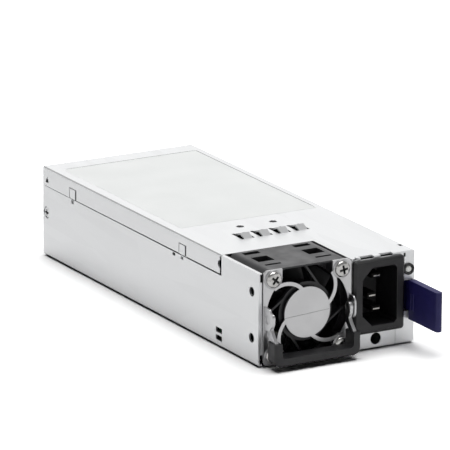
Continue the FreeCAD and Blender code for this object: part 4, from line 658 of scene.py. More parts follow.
def ring_washer(outer: float, inner: float, thick: float) -> Array:
    """A washer with softened rims: a closed profile swept round +Z, its underside at height 0.

    Args:
        outer: radius of its rim, in millimetres.
        inner: radius of its hole.
        thick: its thickness.

    Returns:
        Points of shape (rows, columns, 3), in millimetres.
    """
    soft = thick * WASHER_SOFT
    profile = np.array([(inner, 0), (outer - soft, 0), (outer, soft), (outer, thick - soft),
                        (outer - soft, thick), (inner + soft, thick), (inner, thick - soft),
                        (inner, 0)])
    return turned(profile)


@dataclass
class Fasteners:
    """Screws and washers, modelled on the places of the construction nodes they stand for.

    Attributes:
        pan: the guard's pan-head screws.
        pan_turns: how far each of them was driven, as an angle in radians.
        pan_fall: share of its rise that their dome has lost at pan_fall_at from the axis.
        pan_fall_at: that distance.
        pan_shaded: how far from the axis their recess is painted dark with painted shade.
        pan_below: depth below the dome from which it is.
        washer: radius of their washers.
        washer_hole: radius of the holes in those.
        flat: the flat countersunk screws of the sides.
        flat_shift: how far these lie forward of the drawn place.
        flat_seat: how far their seat lies inside the case's sides.
        flat_shaded: how far from the axis their recess is painted dark with painted shade.
        flat_skin: depth inside the case's sides from which it is, on the axis.
        flat_slope: how much that depth grows with the distance from the axis.
        flat_deep: depth up to which it is.
    """

    pan: CrossScrew = CrossScrew(radius=3.4, rise=1.5, shank=2.0, length=8.8,
                                 wing=1.85, slot=0.42, deep=1.2)
    pan_turns: tuple[float, ...] = (0.35, 0.9, 0.62, 0.2)
    pan_fall: float = 0.12
    pan_fall_at: float = 1.7
    pan_shaded: float = 2.0
    pan_below: float = 0.12
    washer: float = 4.0
    washer_hole: float = 2.05
    flat: CrossScrew = CrossScrew(radius=2.42, rise=0.75, shank=1.4, length=3.0,
                                  wing=1.4, slot=0.36, deep=0.7)
    flat_shift: float = 0.3
    flat_seat: float = 0.78
    flat_shaded: float = 1.5
    flat_skin: float = 0.2
    flat_slope: float = 0.05
    flat_deep: float = 1.0

    def corners(self, node: str, radius: float) -> list[Array]:
        """The four pieces of a group that stands at the corners of its box.

        Args:
            node: the group's construction node.
            radius: radius of each piece.

        Returns:
            The centres (x, z).
        """
        low, high = node_box(node)
        return [np.array([x, z]) for x in (low[0] + radius, high[0] - radius)
                for z in (low[2] + radius, high[2] - radius)]

    def guard(self) -> None:
        """Four pan-head screws, each turned to an angle of its own, on their washers."""
        low, high = node_box("guard_washers")
        spots = self.corners("guard_screws", self.pan.radius)
        screws = []
        for spot, angle in zip(spots, self.pan_turns):
            turn = np.array([(math.cos(angle), -math.sin(angle), 0),
                             (math.sin(angle), math.cos(angle), 0), (0, 0, 1)])
            seat = np.array([spot[0], low[1], spot[1]])
            screws.append((Axis.FRONT.turn(self.pan.surface() @ turn.T) + seat) * MM)
        mesh = grid_mesh("guard_screw_heads", screws, wrap=False)
        heads = piece("guard_screw_heads", mesh, NICKEL, Body.CASE, ("guard_screws",))

        def in_recess(middles: Array) -> Array:
            """Faces within the cross and below the dome.

            Args:
                middles: the faces' middles, in millimetres.

            Returns:
                True for those faces.
            """
            off = middles[:, None, [0, 2]] - np.array(spots)[None]
            off = np.linalg.norm(off, axis=2).min(axis=1)
            dome = low[1] - self.pan.rise * (1 - self.pan_fall * (off / self.pan_fall_at) ** 2)
            return (off < self.pan_shaded) & (middles[:, 1] > dome + self.pan_below)

        # The recess is painted dark: painted shade in its hollow
        part_finish(heads, RECESS_SHADE, in_recess)
        rim = Axis.FRONT.turn(ring_washer(self.washer, self.washer_hole, high[1] - low[1]))
        rims = [(rim + np.array([spot[0], high[1], spot[1]])) * MM
                for spot in self.corners("guard_washers", self.washer)]
        mesh = grid_mesh("guard_washer_rims", rims)
        piece("guard_washer_rims", mesh, WASHER_ZINC, Body.CASE, ("guard_washers",))

    def sides(self) -> None:
        """Flat countersunk screws, level with the sides of the case."""
        low, high = node_box("side_screws")
        middle = (low + high) / 2 - (0, self.flat_shift, 0)
        screws = []
        for axis, seat in ((Axis.LEFT, low[0] + self.flat_seat),
                           (Axis.RIGHT, high[0] - self.flat_seat)):
            spot = np.array([seat, middle[1], middle[2]])
            screws.append((axis.turn(self.flat.surface()) + spot) * MM)
        mesh = grid_mesh("side_screw_heads", screws, wrap=False)
        heads = piece("side_screw_heads", mesh, ZINC_SHEET, Body.CASE, ("side_screws",))

        def in_recess(middles: Array) -> Array:
            """Faces near the axis, well inside the case's sides but above the shank.

            Args:
                middles: the faces' middles, in millimetres.

            Returns:
                True for those faces.
            """
            off = np.hypot(middles[:, 1] - middle[1], middles[:, 2] - middle[2])
            inside = np.minimum(middles[:, 0] - low[0], high[0] - middles[:, 0])
            return ((off < self.flat_shaded) & (inside > self.flat_skin + self.flat_slope * off)
                    & (inside < self.flat_deep))

        # The recess is painted dark: painted shade in its hollow
        part_finish(heads, RECESS_SHADE, in_recess)

    def build(self) -> None:
        """Build every screw."""
        self.guard()
        self.sides()


# ------------------------------------------------------------------ front of the case


@dataclass
class Indicator:
    """Status lamp: a black bezel pressed in the front wall round a domed milky lens.

    Attributes:
        ring: radius of the bezel.
        throat: radius of the bezel's mouth, where it slopes down to the lens.
        rise: how far the bezel stands in front of the wall.
        bevel: width of the rounding at its outer rim.
        soft: width of its narrow middle facet, and how far the throat lies below the rim.
        mouth: how far in front of the wall the throat meets the lens.
        stem: radius of its stem behind the wall.
        behind: length of that stem.
        lens: radius of the lens.
        lens_gap: gap between the lens and the bezel.
        dome: height of the lens's dome, which starts at lens_foot.
        lens_foot: height over the wall's face at which it does.
    """

    ring: float = 2.5
    throat: float = 1.75
    rise: float = 1.0
    bevel: float = 0.35
    soft: float = 0.1
    mouth: float = 0.35
    stem: float = 1.9
    behind: float = 4.0
    lens: float = 1.25
    lens_gap: float = 0.06
    dome: float = 0.7
    lens_foot: float = 0.3

    def build(self) -> None:
        """Turn the bezel's and the lens's profiles about the lamp's axis."""
        low, high = node_box("led_holder")
        face, rear = high[1] - self.behind, self.rise - (high[1] - low[1])
        spot = np.array([(low[0] + high[0]) / 2, face, (low[2] + high[2]) / 2])
        inner, ring, rise = self.lens + self.lens_gap, self.ring, self.rise
        bezel = np.array([
            (inner, self.mouth), (self.throat, rise - self.soft), (ring - self.bevel, rise),
            (ring - self.soft, rise - self.soft), (ring, rise - self.bevel), (ring, 0),
            (self.stem, 0), (self.stem, rear), (inner, rear), (inner, self.mouth)])
        w = np.linspace(0, np.pi / 2, 9)
        lens = np.concatenate([
            np.stack([self.lens * np.sin(w), self.lens_foot + self.dome * np.cos(w)], axis=-1),
            np.array([(self.lens, rear), (0, rear)])])
        for name, profile, finish, node in (("lamp_bezel", bezel, LAMP_RING, "led_holder"),
                                            ("lamp_lens", lens, LAMP_LENS, "led_lens")):
            sheet = (Axis.FRONT.turn(turned(profile, 40)) + spot) * MM
            piece(name, grid_mesh(name, [sheet]), finish, Body.CASE, (node,))


@dataclass
class FrontMarks:
    """Fine marks on flat sheet: a line scribed by the press, and a painted shadow line along the
    label.

    Attributes:
        line_half: half the length of the line scribed across the guard's disc.
        line_rise: how far its middle lies above the disc's.
        line_slope: how much it climbs to the right.
        line_width: its width.
        line_clear: how far the strip that draws it stands in front of the plate.
        line_thick: thickness of that strip.
        film_corner: radius of the label's corners.
        rim_width: width of the label's edge strip, which paints its shadow line.
        rim_rise: how far that edge has lifted.
        rim_foot: how high over the lid it starts.
        rim_thick: thickness of the strip that draws it.
    """

    line_half: float = 10.4
    line_rise: float = -0.65
    line_slope: float = 0.06
    line_width: float = 0.16
    line_clear: float = 0.015
    line_thick: float = 0.01
    film_corner: float = 1.5
    rim_width: float = 0.35
    rim_rise: float = 0.04
    rim_foot: float = 0.04
    rim_thick: float = 0.05

    def disc_line(self) -> None:
        """A fine scribed line across the guard's disc: a flat strip, a hair proud of the sheet."""
        low, high = node_box("fan_guard")
        middle = (low + high) / 2
        across = np.linspace(-self.line_half, self.line_half, 12)
        centre = middle[2] + self.line_rise + self.line_slope * across
        front = node_box("guard_washers")[1][1] - self.line_clear
        half = self.line_width / 2
        rows = []
        for up, back in ((-half, self.line_thick), (half, self.line_thick), (half, 0), (-half, 0)):
            depth = np.full_like(across, front + back)
            rows.append(np.stack([middle[0] + across, depth, centre + up], axis=-1))
        sheet = np.stack(rows, axis=1) * MM
        piece("disc_scribed_line", grid_mesh("disc_scribed_line", [sheet]), SCRIBED, Body.CASE)

    def label_shadow_rim(self) -> None:
        """A painted shadow line along the label film's rear and right side, where its edge has
        lifted a little.

        A low strip follows the outline from the rear left corner round the rear right one to the
        front right one. Its section is a half sine: highest at the middle and level with the film
        at both sides.
        """
        low, high = node_box("rating_label")
        along = np.linspace(0, 1, 60)[:, None]
        turn = np.linspace(np.pi / 2, 0, 10)[:, None]
        soft = self.film_corner
        wide, long, _ = high - low
        rear = np.hstack([low[0] + soft + (wide - 2 * soft) * along, high[1] + 0 * along])
        bend = np.hstack([high[0] - soft + soft * np.cos(turn),
                          high[1] - soft + soft * np.sin(turn)])
        right = np.hstack([high[0] + 0 * along, high[1] - soft - (long - 2 * soft) * along])
        path = np.concatenate([rear, bend[1:-1], right])
        ahead = np.gradient(path, axis=0)
        ahead /= np.linalg.norm(ahead, axis=1, keepdims=True)
        inward = np.stack([ahead[:, 1], -ahead[:, 0]], axis=-1)
        rows = []
        for inset in np.linspace(0, self.rim_width, 5):
            rise = self.rim_rise * math.sin(math.pi * inset / self.rim_width)
            height = np.full((len(path), 1), low[2] + self.rim_foot + rise)
            rows.append(np.hstack([path + inward * inset, height]))
        rows += [rows[-1] - (0, 0, self.rim_thick), rows[0] - (0, 0, self.rim_thick)]
        sheet = np.stack(rows, axis=1) * MM
        # A grey strip along the film's rear and right edge: a painted shadow line
        piece("label_edge_painted_shadow", grid_mesh("label_edge_painted_shadow", [sheet]), LABEL_EDGE_SHADOW, Body.CASE)

    def build(self) -> None:
        """Build every mark."""
        self.disc_line()
        self.label_shadow_rim()


@dataclass
class FanRotor:
    """Seven cambered blades on a cup hub.

    Attributes:
        blades: how many there are.
        hub: radius of the hub.
        wall: thickness of the hub's wall.
        nose: length of its rounded nose, which is also how much shorter than the hub the blades
            are.
        shaft: radius of the flat at the middle of the nose.
        tip: radius of the blade tips.
        root: how deep the blades start inside the hub.
        wrap: angle that a blade turns through from its front edge to its rear one, in degrees.
        camber: bulge of the section, as a share of the wrap.
        untwist: share of the wrap that is lost at the tip.
        sweep: angle by which the tip runs ahead of the root, in radians.
        taper: share of the depth that is lost at the tip.
        thick: greatest thickness of a blade.
        closing: over which share of the span the tip closes, as one over that share.
    """

    blades: int = 7
    hub: float = 10.1
    wall: float = 1.1
    nose: float = 1.6
    shaft: float = 2.4
    tip: float = 18.4
    root: float = 0.8
    wrap: float = 46.0
    camber: float = 0.16
    untwist: float = 0.18
    sweep: float = 0.12
    taper: float = 0.06
    thick: float = 1.3
    closing: float = 40.0

    def blade(self, turn: float, depth: float) -> Array:
        """One blade as a closed surface.

        Along the span the radius runs from inside the hub to the tip. Round the section, w runs
        from the front edge over one face to the rear edge and back over the other. The place along
        the chord is (1 - cos w) / 2, the turn about the axis is the chord times the wrap plus a
        camber of half a sine, and the two faces stand apart by the thickness times the square root
        of sin w.

        Args:
            turn: place of the blade round the axis, in radians.
            depth: its length along the axis, in millimetres.

        Returns:
            Points of shape (rows, columns, 3), in millimetres.
        """
        span = np.linspace(0, 1, 9)[:, None]
        w = np.linspace(0, 2 * np.pi, 28, endpoint=False)[None, :]
        chord = (1 - np.cos(w)) / 2
        radius = self.hub - self.root + (self.tip - self.hub + self.root) * span
        closed = np.clip((1 - span) * self.closing, 0, 1)
        part = np.sign(np.sin(w)) * np.sqrt(np.abs(np.sin(w))) * self.thick / 2 * closed
        lean = (chord - 0.5) + self.camber * np.sin(np.pi * chord)
        lean = math.radians(self.wrap) * lean * (1 - self.untwist * span)
        angle = turn + lean + part / radius + self.sweep * span
        height = depth * (0.5 - chord) * (1 - self.taper * span)
        return np.stack([radius * np.cos(angle), radius * np.sin(angle), height], axis=-1)

    def build(self) -> None:
        """Build the blades and the hub in one mesh."""
        low, high = node_box("fan_rotor")
        axis = node_middle("fan_shaft")
        spot = np.array([axis[0], (low[1] + high[1]) / 2, axis[2]])
        long = high[1] - low[1]
        half, hub, inside = long / 2, self.hub, self.hub - self.wall
        # From the open rear over the rim and along the outside to the rounded nose, and back
        # through the inside
        cup = np.array([
            (inside, half), (hub - 0.2, half), (hub, half - 0.3), (hub, self.nose - half),
            (hub - 0.5, 0.5 - half), (hub - 1.8, -half), (self.shaft, -half), (0, -half),
            (0, 1.4 - half), (inside, 1.5 - half), (inside, half)])
        sheets = [self.blade(2 * math.pi * index / self.blades, long - self.nose)
                  for index in range(self.blades)]
        sheets.append(turned(cup, 56))
        mesh = grid_mesh("rotor_blades", [(Axis.FRONT.turn(sheet) + spot) * MM for sheet in sheets])
        piece("rotor_blades", mesh, ROTOR_MOULDING, Body.FAN, ("fan_rotor",))


@dataclass
class Lid:
    """The folded lid on its tray: its seams stand a little open, its lances clear of the sheet.

    Attributes:
        fold: how far in from either side the corners of the flanges lie.
        lap: how far the side flanges hang down.
        seam: how far the flanges' lower edge stands off the tray.
        burnish: how far the burnished bend, painted darker, reaches in and down.
        snap_fronts: front ends of the snap slots, from the front of the case.
        snap_open: how much wider the slots are at their front ends.
        bay: where the flange ends beside the fan, from the front of the case.
        bay_end: length of that end, which starts bay_below under the lid's top.
        bay_below: distance from the top down to it.
        bay_open: how far it stands back.
        mark: middle of the pointed mark, from the rear and from the top.
        mark_reach: radius round it within which its corners lie.
        mark_half: half its width, once it stands upright.
        mark_foot: how far its foot then lies below its middle.
        mark_tip: how far its tip then lies above it.
        mark_behind: how far behind the middle a corner lies that belongs to the tip.
        lances: how many there are.
        lance_left: middle of the first lance, from the left side.
        lance_pitch: distance from one lance to the next.
        lance_front: front end of the lances, from the front of the case.
        lance_long: length of a lance.
        lance_half: half the width of the slot that a lance leaves.
        lance_over: how far the lances lie to the right.
        lance_open: how much wider that slot is at each side.
        lance_short: how much shorter the lances are at the rear.
        lance_drop: how far their rear slopes down from the crest.
        lance_foot: how far below the lid's top their lowest corners lie.
        lance_crest: height over the lid's top above which a corner is part of the crest.
        near: how near a corner lies to a line that it belongs to.
    """

    fold: float = 0.85
    lap: float = 8.3
    seam: float = 0.1
    burnish: float = 0.78
    snap_fronts: tuple[float, float] = (60.3, 155.7)
    snap_open: float = 0.8
    bay: float = 30.8
    bay_end: float = 1.9
    bay_below: float = 0.65
    bay_open: float = 0.8
    mark: tuple[float, float] = (3.7, 5.3)
    mark_reach: float = 1.5
    mark_half: float = 1.45
    mark_foot: float = 1.1
    mark_tip: float = 1.4
    mark_behind: float = 0.3
    lances: int = 4
    lance_left: float = 20.3
    lance_pitch: float = 8.7
    lance_front: float = 46.3
    lance_long: float = 11.0
    lance_half: float = 2.15
    lance_over: float = 1.8
    lance_open: float = 0.9
    lance_short: float = 1.5
    lance_drop: float = 1.4
    lance_foot: float = 0.9
    lance_crest: float = 0.5
    near: float = 0.1

    def bend(self, middles: Array) -> Array:
        """Faces of the bend along the left side, which get the painted dark line.

        Args:
            middles: the faces' middles, in millimetres.

        Returns:
            True for those faces.
        """
        low, _ = node_box("top_cover")
        top = label_foot()
        x, _, z = middles.T
        return (x < low[0] + self.burnish) & (z > top - self.burnish) & (z < top + self.near)

    def settle(self, corners: Array) -> Array:
        """Move the lid's corners from the shut to the settled place.

        Args:
            corners: the corners, in millimetres.

        Returns:
            The same corners, moved.
        """
        low, high = node_box("top_cover")
        top, near = label_foot(), self.near
        x, y, z = corners.T.copy()
        left = x < low[0] + self.fold
        side = (np.abs(x - low[0]) < self.fold) | (np.abs(x - high[0]) < self.fold)
        foot = (side & (np.abs(z - (top - self.lap)) < 2.5 * near)
                & (y < low[1] + self.snap_fronts[1] + near))
        z = np.where(foot, z + self.seam, z)
        for front in self.snap_fronts:
            y = np.where(side & (np.abs(y - low[1] - front) < near / 2), y - self.snap_open, y)
        end = left & (y < low[1] + self.bay + self.bay_end) & (z < top - self.bay_below)
        y = np.where(end, y + self.bay_open, y)
        back, drop = high[1] - self.mark[0], top - self.mark[1]
        mark = left & (np.hypot(y - back, z - drop) < self.mark_reach)
        tip = mark & (y > back + self.mark_behind)
        y, z = (np.where(tip, back, np.where(mark, back + self.mark_half * np.sign(z - drop), y)),
                np.where(tip, drop + self.mark_tip, np.where(mark, drop - self.mark_foot, z)))
        centres = low[0] + self.lance_left + self.lance_pitch * np.arange(self.lances)
        off = x[:, None] - centres[None, :]
        off = np.take_along_axis(off, np.abs(off).argmin(axis=1)[:, None], axis=1)[:, 0]
        start = low[1] + self.lance_front
        lance = ((np.abs(off) < self.lance_half + near) & (z > top - self.lance_foot)
                 & (y > start - near) & (y < start + self.lance_long + near))
        slot = lance & (np.abs(off) > self.lance_half - near) & (z < top + near / 2)
        rear = lance & (y > start + self.lance_long / 2)
        z = np.where(rear & (z > top + self.lance_crest), z - self.lance_drop, z)
        y = np.where(rear, y - self.lance_short, y)
        x = np.where(lance, x + self.lance_over, x)
        x = np.where(slot, x + self.lance_open * np.sign(off), x)
        return np.stack([x, y, z], axis=-1)


@dataclass
class Tray:
    """The folded tray under its lid: its wall ends a little lower and further forward than drawn.

    Attributes:
        sheet: thickness of the sheet.
        lap: depth of the seam below the top of the lid.
        seam_open: how much lower the wall's upper edge stands.
        seam_end: where the open part of the seam ends, from the front of the case.
        bay: where the wall turns up beside the fan, from the front of the case.
        bay_open: how much further forward that upright edge stands.
        notches: middles of the notches below the seam, from the front of the case.
        notch_half: half the length within which the corners of a notch lie.
        notch_foot: depth of their lower ends below the top of the case.
        notch_wide: how much wider than drawn they stand open.
        hole: radius of the screw holes at the rear as they are drawn.
        hole_shown: their radius here, with a rim left towards the rear.
        hole_shift: how far they lie forward of the drawn place.
        shade_below: height up to which the underside is painted dark, as painted shade.
        near: how near a corner lies to a line that it belongs to.
        near_bay: how near it lies to that upright edge.
        near_hole: how near it lies to the rim of a drawn hole.
        hair: how near it lies to the rear edge, and half the gap that a closed break leaves there.
    """

    sheet: float = 0.8
    lap: float = 8.3
    seam_open: float = 0.4
    seam_end: float = 155.9
    bay: float = 30.8
    bay_open: float = 0.5
    notches: tuple[float, float, float] = (63.1, 69.9, 158.5)
    notch_half: float = 0.9
    notch_foot: float = 10.3
    notch_wide: float = 1.4
    hole: float = 2.95
    hole_shown: float = 2.6
    hole_shift: float = 0.3
    shade_below: float = 0.45
    near: float = 0.05
    near_bay: float = 0.06
    near_hole: float = 0.08
    hair: float = 0.01

    def underside(self, middles: Array) -> Array:
        """Faces of the underside, which get the painted shade, picked by their middles in
        millimetres.
        """
        return middles[:, 2] < self.shade_below

    def settle(self, corners: Array) -> Array:
        """Move the wall's corners along the seam and round the screw holes.

        Args:
            corners: the corners, in millimetres.

        Returns:
            The same corners, moved.
        """
        low, high = node_box("chassis")
        near, seam_top = self.near, high[2] - self.lap
        x, y, z = corners.T.copy()
        left = x < low[0] + self.sheet + near
        side = left | (x > high[0] - self.sheet - near)
        centres = low[1] + np.array(self.notches)
        centre = centres[np.abs(y[:, None] - centres[None, :]).argmin(axis=1)]
        notch = (side & (z > high[2] - self.notch_foot) & (z < seam_top - near)
                 & (np.abs(y - centre) < self.notch_half))
        y = np.where(notch, centre + (y - centre) * self.notch_wide, y)
        upright = (left & (np.abs(y - low[1] - self.bay) < self.near_bay)
                   & (z > seam_top - 2 * near))
        seam = side & (np.abs(z - seam_top + 2 * near) < 3 * near) & (y < low[1] + self.seam_end)
        z = np.where(seam, z - self.seam_open, z)
        y = np.where(upright, y - self.bay_open, y)
        middle = node_middle("side_screws")
        away = np.stack([y - middle[1], z - middle[2]], axis=-1)
        rim = side & (np.abs(np.linalg.norm(away, axis=1) - self.hole) < self.near_hole)
        # The drawn holes break the rear edge: the two corners of each break close up to a hair's
        # width
        cut = rim & (y > high[1] - self.hair)
        shown = away * self.hole_shown / self.hole + (middle[1] - self.hole_shift, middle[2])
        y = np.where(rim & ~cut, shown[:, 0], y)
        z = np.where(rim, shown[:, 1], z)
        z = np.where(cut, middle[2] + self.hair * np.sign(away[:, 1]), z)
        return np.stack([x, y, z], axis=-1)


@dataclass
class InletBlades:
    """The inlet's three flat blades, painted dark as painted shade but for their ends.

    Attributes:
        earth_ahead: how far the ends of line and neutral lie behind that of the earth blade.
        row_inset: how far from the top and the bottom of the group the outer rows' middles lie.
        end_half: how far from a row's middle the corners of a blade's end reach.
        end_left: share of its height that is left of a planed end.
        near: how near a face lies to the flat end that it belongs to.
    """

    earth_ahead: float = 3.2
    row_inset: float = 1.0
    end_half: float = 0.6
    end_left: float = 0.55
    near: float = 0.04

    def shaded_sides(self, middles: Array) -> Array:
        """Every face but the flat ends, which all get the painted shade.

        Args:
            middles: the faces' middles, in millimetres.

        Returns:
            True for those faces.
        """
        behind = middles[:, 1] - node_box("inlet_blades")[0][1]
        return np.minimum(np.abs(behind), np.abs(behind - self.earth_ahead)) > self.near

    def planed(self, corners: Array) -> Array:
        """Plane the flat ends down to a narrow strip.

        Args:
            corners: the blades' corners, in millimetres.

        Returns:
            The same corners, moved.
        """
        low, high = node_box("inlet_blades")
        x, y, z = corners.T.copy()
        rows = np.array([low[2] + self.row_inset, (low[2] + high[2]) / 2, high[2] - self.row_inset])
        row = rows[np.abs(z[:, None] - rows[None, :]).argmin(axis=1)]
        end = np.abs(z - row) < self.end_half
        return np.stack([x, y, np.where(end, row + (z - row) * self.end_left, z)], axis=-1)


# Share of the label's drawn thickness that is left of its film
FILM_LEFT = 0.2


def pressed_film(corners: Array) -> Array:
    """The label's film pressed flat on the lid.

    Args:
        corners: the label's corners, in millimetres.

    Returns:
        The same corners, moved.
    """
    foot = label_foot()
    x, y, z = corners.T
    return np.stack([x, y, foot + (z - foot) * FILM_LEFT], axis=-1)


@dataclass
class Metalwork:
    """Pressed and moulded pieces whose construction shape is right, given rounded edges.

    Attributes:
        edges: radius of the rounded edges of each piece, in millimetres.
        moving: the bodies of the pieces that don't ride on the case.
    """

    edges: dict[str, float] = field(default_factory=lambda: {
        "chassis": 0.16, "top_cover": 0.0, "fan_guard": 0.14, "fan_frame": 0.22,
        "handle_arm_left": 0.22, "handle_arm_right": 0.22, "handle_grip": 0.45,
        "rating_label": 0.01, "inlet_housing": 0.3, "inlet_blades": 0.05, "release_lever": 0.8,
        "relay": 0.5, "x_capacitor": 0.6, "transformer_winding": 0.6, "transformer_core": 0.4,
        "bridge_rectifier": 0.3, "power_transistors": 0.3})
    moving: dict[str, Body] = field(default_factory=lambda: {
        "handle_arm_left": Body.HANDLE, "handle_arm_right": Body.HANDLE, "handle_grip": Body.HANDLE,
        "release_lever": Body.LATCH})

    def build(self, nodes: dict[str, bpy.types.Object]) -> None:
        """Round the edges of each piece, paint a dark line along the lid's bend, and paint the
        blades' sides and the tray's underside dark as painted shade.

        Args:
            nodes: the construction model's objects by name.
        """
        lid, tray, blades = Lid(), Tray(), InletBlades()
        shapes = {"top_cover": lid.settle, "chassis": tray.settle, "inlet_blades": blades.planed,
                  "rating_label": pressed_film}
        copies = {}
        for name, edge in self.edges.items():
            body = self.moving.get(name, Body.CASE)
            copies[name] = rounded_copy(nodes[name], body, edge, NODE_FINISHES[name],
                                        shapes.get(name))
        # The bend's faces get a darker tint: a painted dark reflection line along the fold
        part_finish(copies["top_cover"], BEND_PAINTED_DARK, lid.bend)
        # All but the blades' flat ends are painted dark: painted shade of the inlet's cavity
        part_finish(copies["inlet_blades"], BLADE_PAINTED_SHADE, blades.shaded_sides)
        # The underside is painted dark: painted shade of the gap between the case and the floor
        part_finish(copies["chassis"], UNDERSIDE_PAINTED_SHADE, tray.underside)


# ------------------------------------------------------------------ inside


@dataclass
class RingCoil:
    """A ring core with enamelled wire wound round it, lying flat on the board.

    Attributes:
        node: the construction node that it stands for.
        hole: radius of the hole through the winding.
        wire: radius of the wire.
        runs: where each winding starts and ends round the ring, in degrees.
        pitch: distance from one turn to the next at the hole, in radii of the wire.
        clear: distance from the outside of the winding to the core, in radii of the wire.
        soft: width of the core's bevels.
        steps: points along one turn of the wire.
        sides: points round the wire.
    """

    node: str
    hole: float
    wire: float
    runs: tuple[tuple[float, float], ...]
    pitch: float = 2.2
    clear: float = 2.1
    soft: float = 0.5
    steps: int = 20
    sides: int = 6

    def winding(self, start: float, end: float, ring: float, wide: float, high: float) -> Array:
        """One winding as a wire along a helix round the ring.

        As the place round the ring runs from start to end, the place round the section runs through
        all the turns. The section is a rounded square: each coordinate is the square root of the
        sine or cosine.

        Args:
            start: where the winding starts round the ring, in degrees.
            end: where it ends.
            ring: radius of the ring's middle line, in millimetres.
            wide: half the width of its section with the wire.
            high: half the height of its section with the wire.

        Returns:
            Points of shape (rows, columns, 3), in millimetres.
        """
        sector = math.radians(end - start)
        turns = max(2, int(sector * (ring - wide + self.wire) / (self.pitch * self.wire)))
        along = np.linspace(0, 1, turns * self.steps + 1)
        about = 2 * np.pi * turns * along - np.pi / 2
        place = math.radians(start) + sector * along
        square_cos = np.sign(np.cos(about)) * np.abs(np.cos(about)) ** 0.5
        square_sin = np.sign(np.sin(about)) * np.abs(np.sin(about)) ** 0.5
        radius = ring + (wide - self.wire) * square_cos
        height = (high - self.wire) * square_sin
        path = np.stack([radius * np.cos(place), radius * np.sin(place), height], axis=-1)
        return tube_along(path, self.wire, self.sides)

    def build(self) -> None:
        """Build the core and its windings."""
        middle, size = node_middle(self.node), node_size(self.node)
        high = size[2] / 2
        wide = (size[0] / 2 - self.hole) / 2
        ring = self.hole + wide
        soft, clear = self.soft, self.clear * self.wire
        inner, outer, top = ring - wide + clear, ring + wide - clear, high - clear
        core = np.array([
            (inner + soft, top), (outer - soft, top), (outer, top - soft), (outer, soft - top),
            (outer - soft, -top), (inner + soft, -top), (inner, soft - top), (inner, top - soft),
            (inner + soft, top)])
        mesh = grid_mesh("core", [(turned(core, 40) + middle) * MM])
        piece(f"{self.node}_core", mesh, FERRITE, Body.CASE)
        mesh = grid_mesh("winding", [(self.winding(start, end, ring, wide, high) + middle) * MM
                                     for start, end in self.runs])
        piece(f"{self.node}_winding", mesh, ENAMELLED_COPPER, Body.CASE, (self.node,))


@dataclass
class Cans:
    """Electrolytic capacitors: a shrink sleeve with a rolled groove, and a bare vented end.

    Attributes:
        node: the construction node that they stand for.
        axis: the direction of the vented end.
        across: how many stand along X.
        ahead: how many stand along Y.
        radius: the radius of each.
    """

    node: str
    axis: Axis
    across: int
    ahead: int
    radius: float

    def build(self) -> None:
        """Build the sleeves in one mesh and the ends in another."""
        low, high = node_box(self.node)
        upright = self.axis is Axis.Z
        tall = high[2] - low[2] if upright else high[1] - low[1]
        radius = self.radius
        deep = min(0.8, radius * 0.08)
        # From the foot up: a groove rolled into the wall, then the crimp round the vented end
        sleeve = np.array([
            (0, 0), (radius - deep, 0), (radius, deep), (radius, 3.2 * deep),
            (radius - deep, 4.2 * deep), (radius, 5.2 * deep), (radius, tall - deep),
            (radius - deep, tall), (radius - 2.6 * deep, tall), (radius - 2.8 * deep, tall - deep)])
        end = np.array([
            (radius - 2.7 * deep, tall - deep), (radius - 2.9 * deep, tall - 0.5 * deep),
            (0.16 * radius, tall - 0.5 * deep), (0.12 * radius, tall - 0.9 * deep),
            (0, tall - 0.9 * deep)])
        spots = []
        for x in np.linspace(low[0] + radius, high[0] - radius, self.across):
            if not upright:
                spots.append(np.array([x, high[1], (low[2] + high[2]) / 2]))
                continue
            for y in np.linspace(low[1] + radius, high[1] - radius, self.ahead):
                spots.append(np.array([x, y, low[2]]))
        for name, profile, finish, stands in (("sleeves", sleeve, CAN_SLEEVE, (self.node,)),
                                              ("ends", end, CAN_TOP, ())):
            sheets = [(self.axis.turn(turned(profile, 40)) + spot) * MM for spot in spots]
            piece(f"{self.node}_{name}", grid_mesh(name, sheets), finish, Body.CASE, stands)


@dataclass
class LatchSpring:
    """Torsion spring round the latch pin, of close turns.

    Attributes:
        wire: radius of the wire.
        turns: how many turns it has.
        points: points along the wire.
        sides: points round it.
    """

    wire: float = 0.32
    turns: float = 3.25
    points: int = 90
    sides: int = 8

    def build(self) -> None:
        """Wind the wire on a helix: the angle grows evenly with the height."""
        middle, size = node_middle("latch_torsion_spring"), node_size("latch_torsion_spring")
        radius = size[0] / 2 - self.wire
        angle = np.linspace(0, 2 * np.pi * self.turns, self.points)
        height = np.linspace(self.wire - size[2] / 2, size[2] / 2 - self.wire, self.points)
        helix = np.stack([radius * np.cos(angle), radius * np.sin(angle), height], axis=-1)
        wire = (tube_along(helix, self.wire, self.sides) + middle) * MM
        piece("latch_spring_turns", grid_mesh("latch_spring_turns", [wire]), SPRING_WIRE, Body.CASE,
              ("latch_torsion_spring",))


# ------------------------------------------------------------------ the studio


@dataclass(frozen=True)
class SoftBox:
    """A square soft box aimed at the object.

    Attributes:
        name: where it hangs.
        place: its middle, in millimetres.
        side: its side, in millimetres.
        power: its power, in watts.
    """

    name: str
    place: tuple[float, float, float]
    side: float
    power: float

    def build(self) -> None:
        """Hang the lamp and turn it to the object."""
        data = bpy.data.lights.new(self.name, "AREA")
        data.energy = self.power
        data.size = self.side * MM
        lamp = bpy.data.objects.new(self.name, data)
        lamp.location = Vector(self.place) * MM
        lamp.rotation_mode = "QUATERNION"
        lamp.rotation_quaternion = (-lamp.location).to_track_quat("-Z", "Y")
        bpy.context.scene.collection.objects.link(lamp)


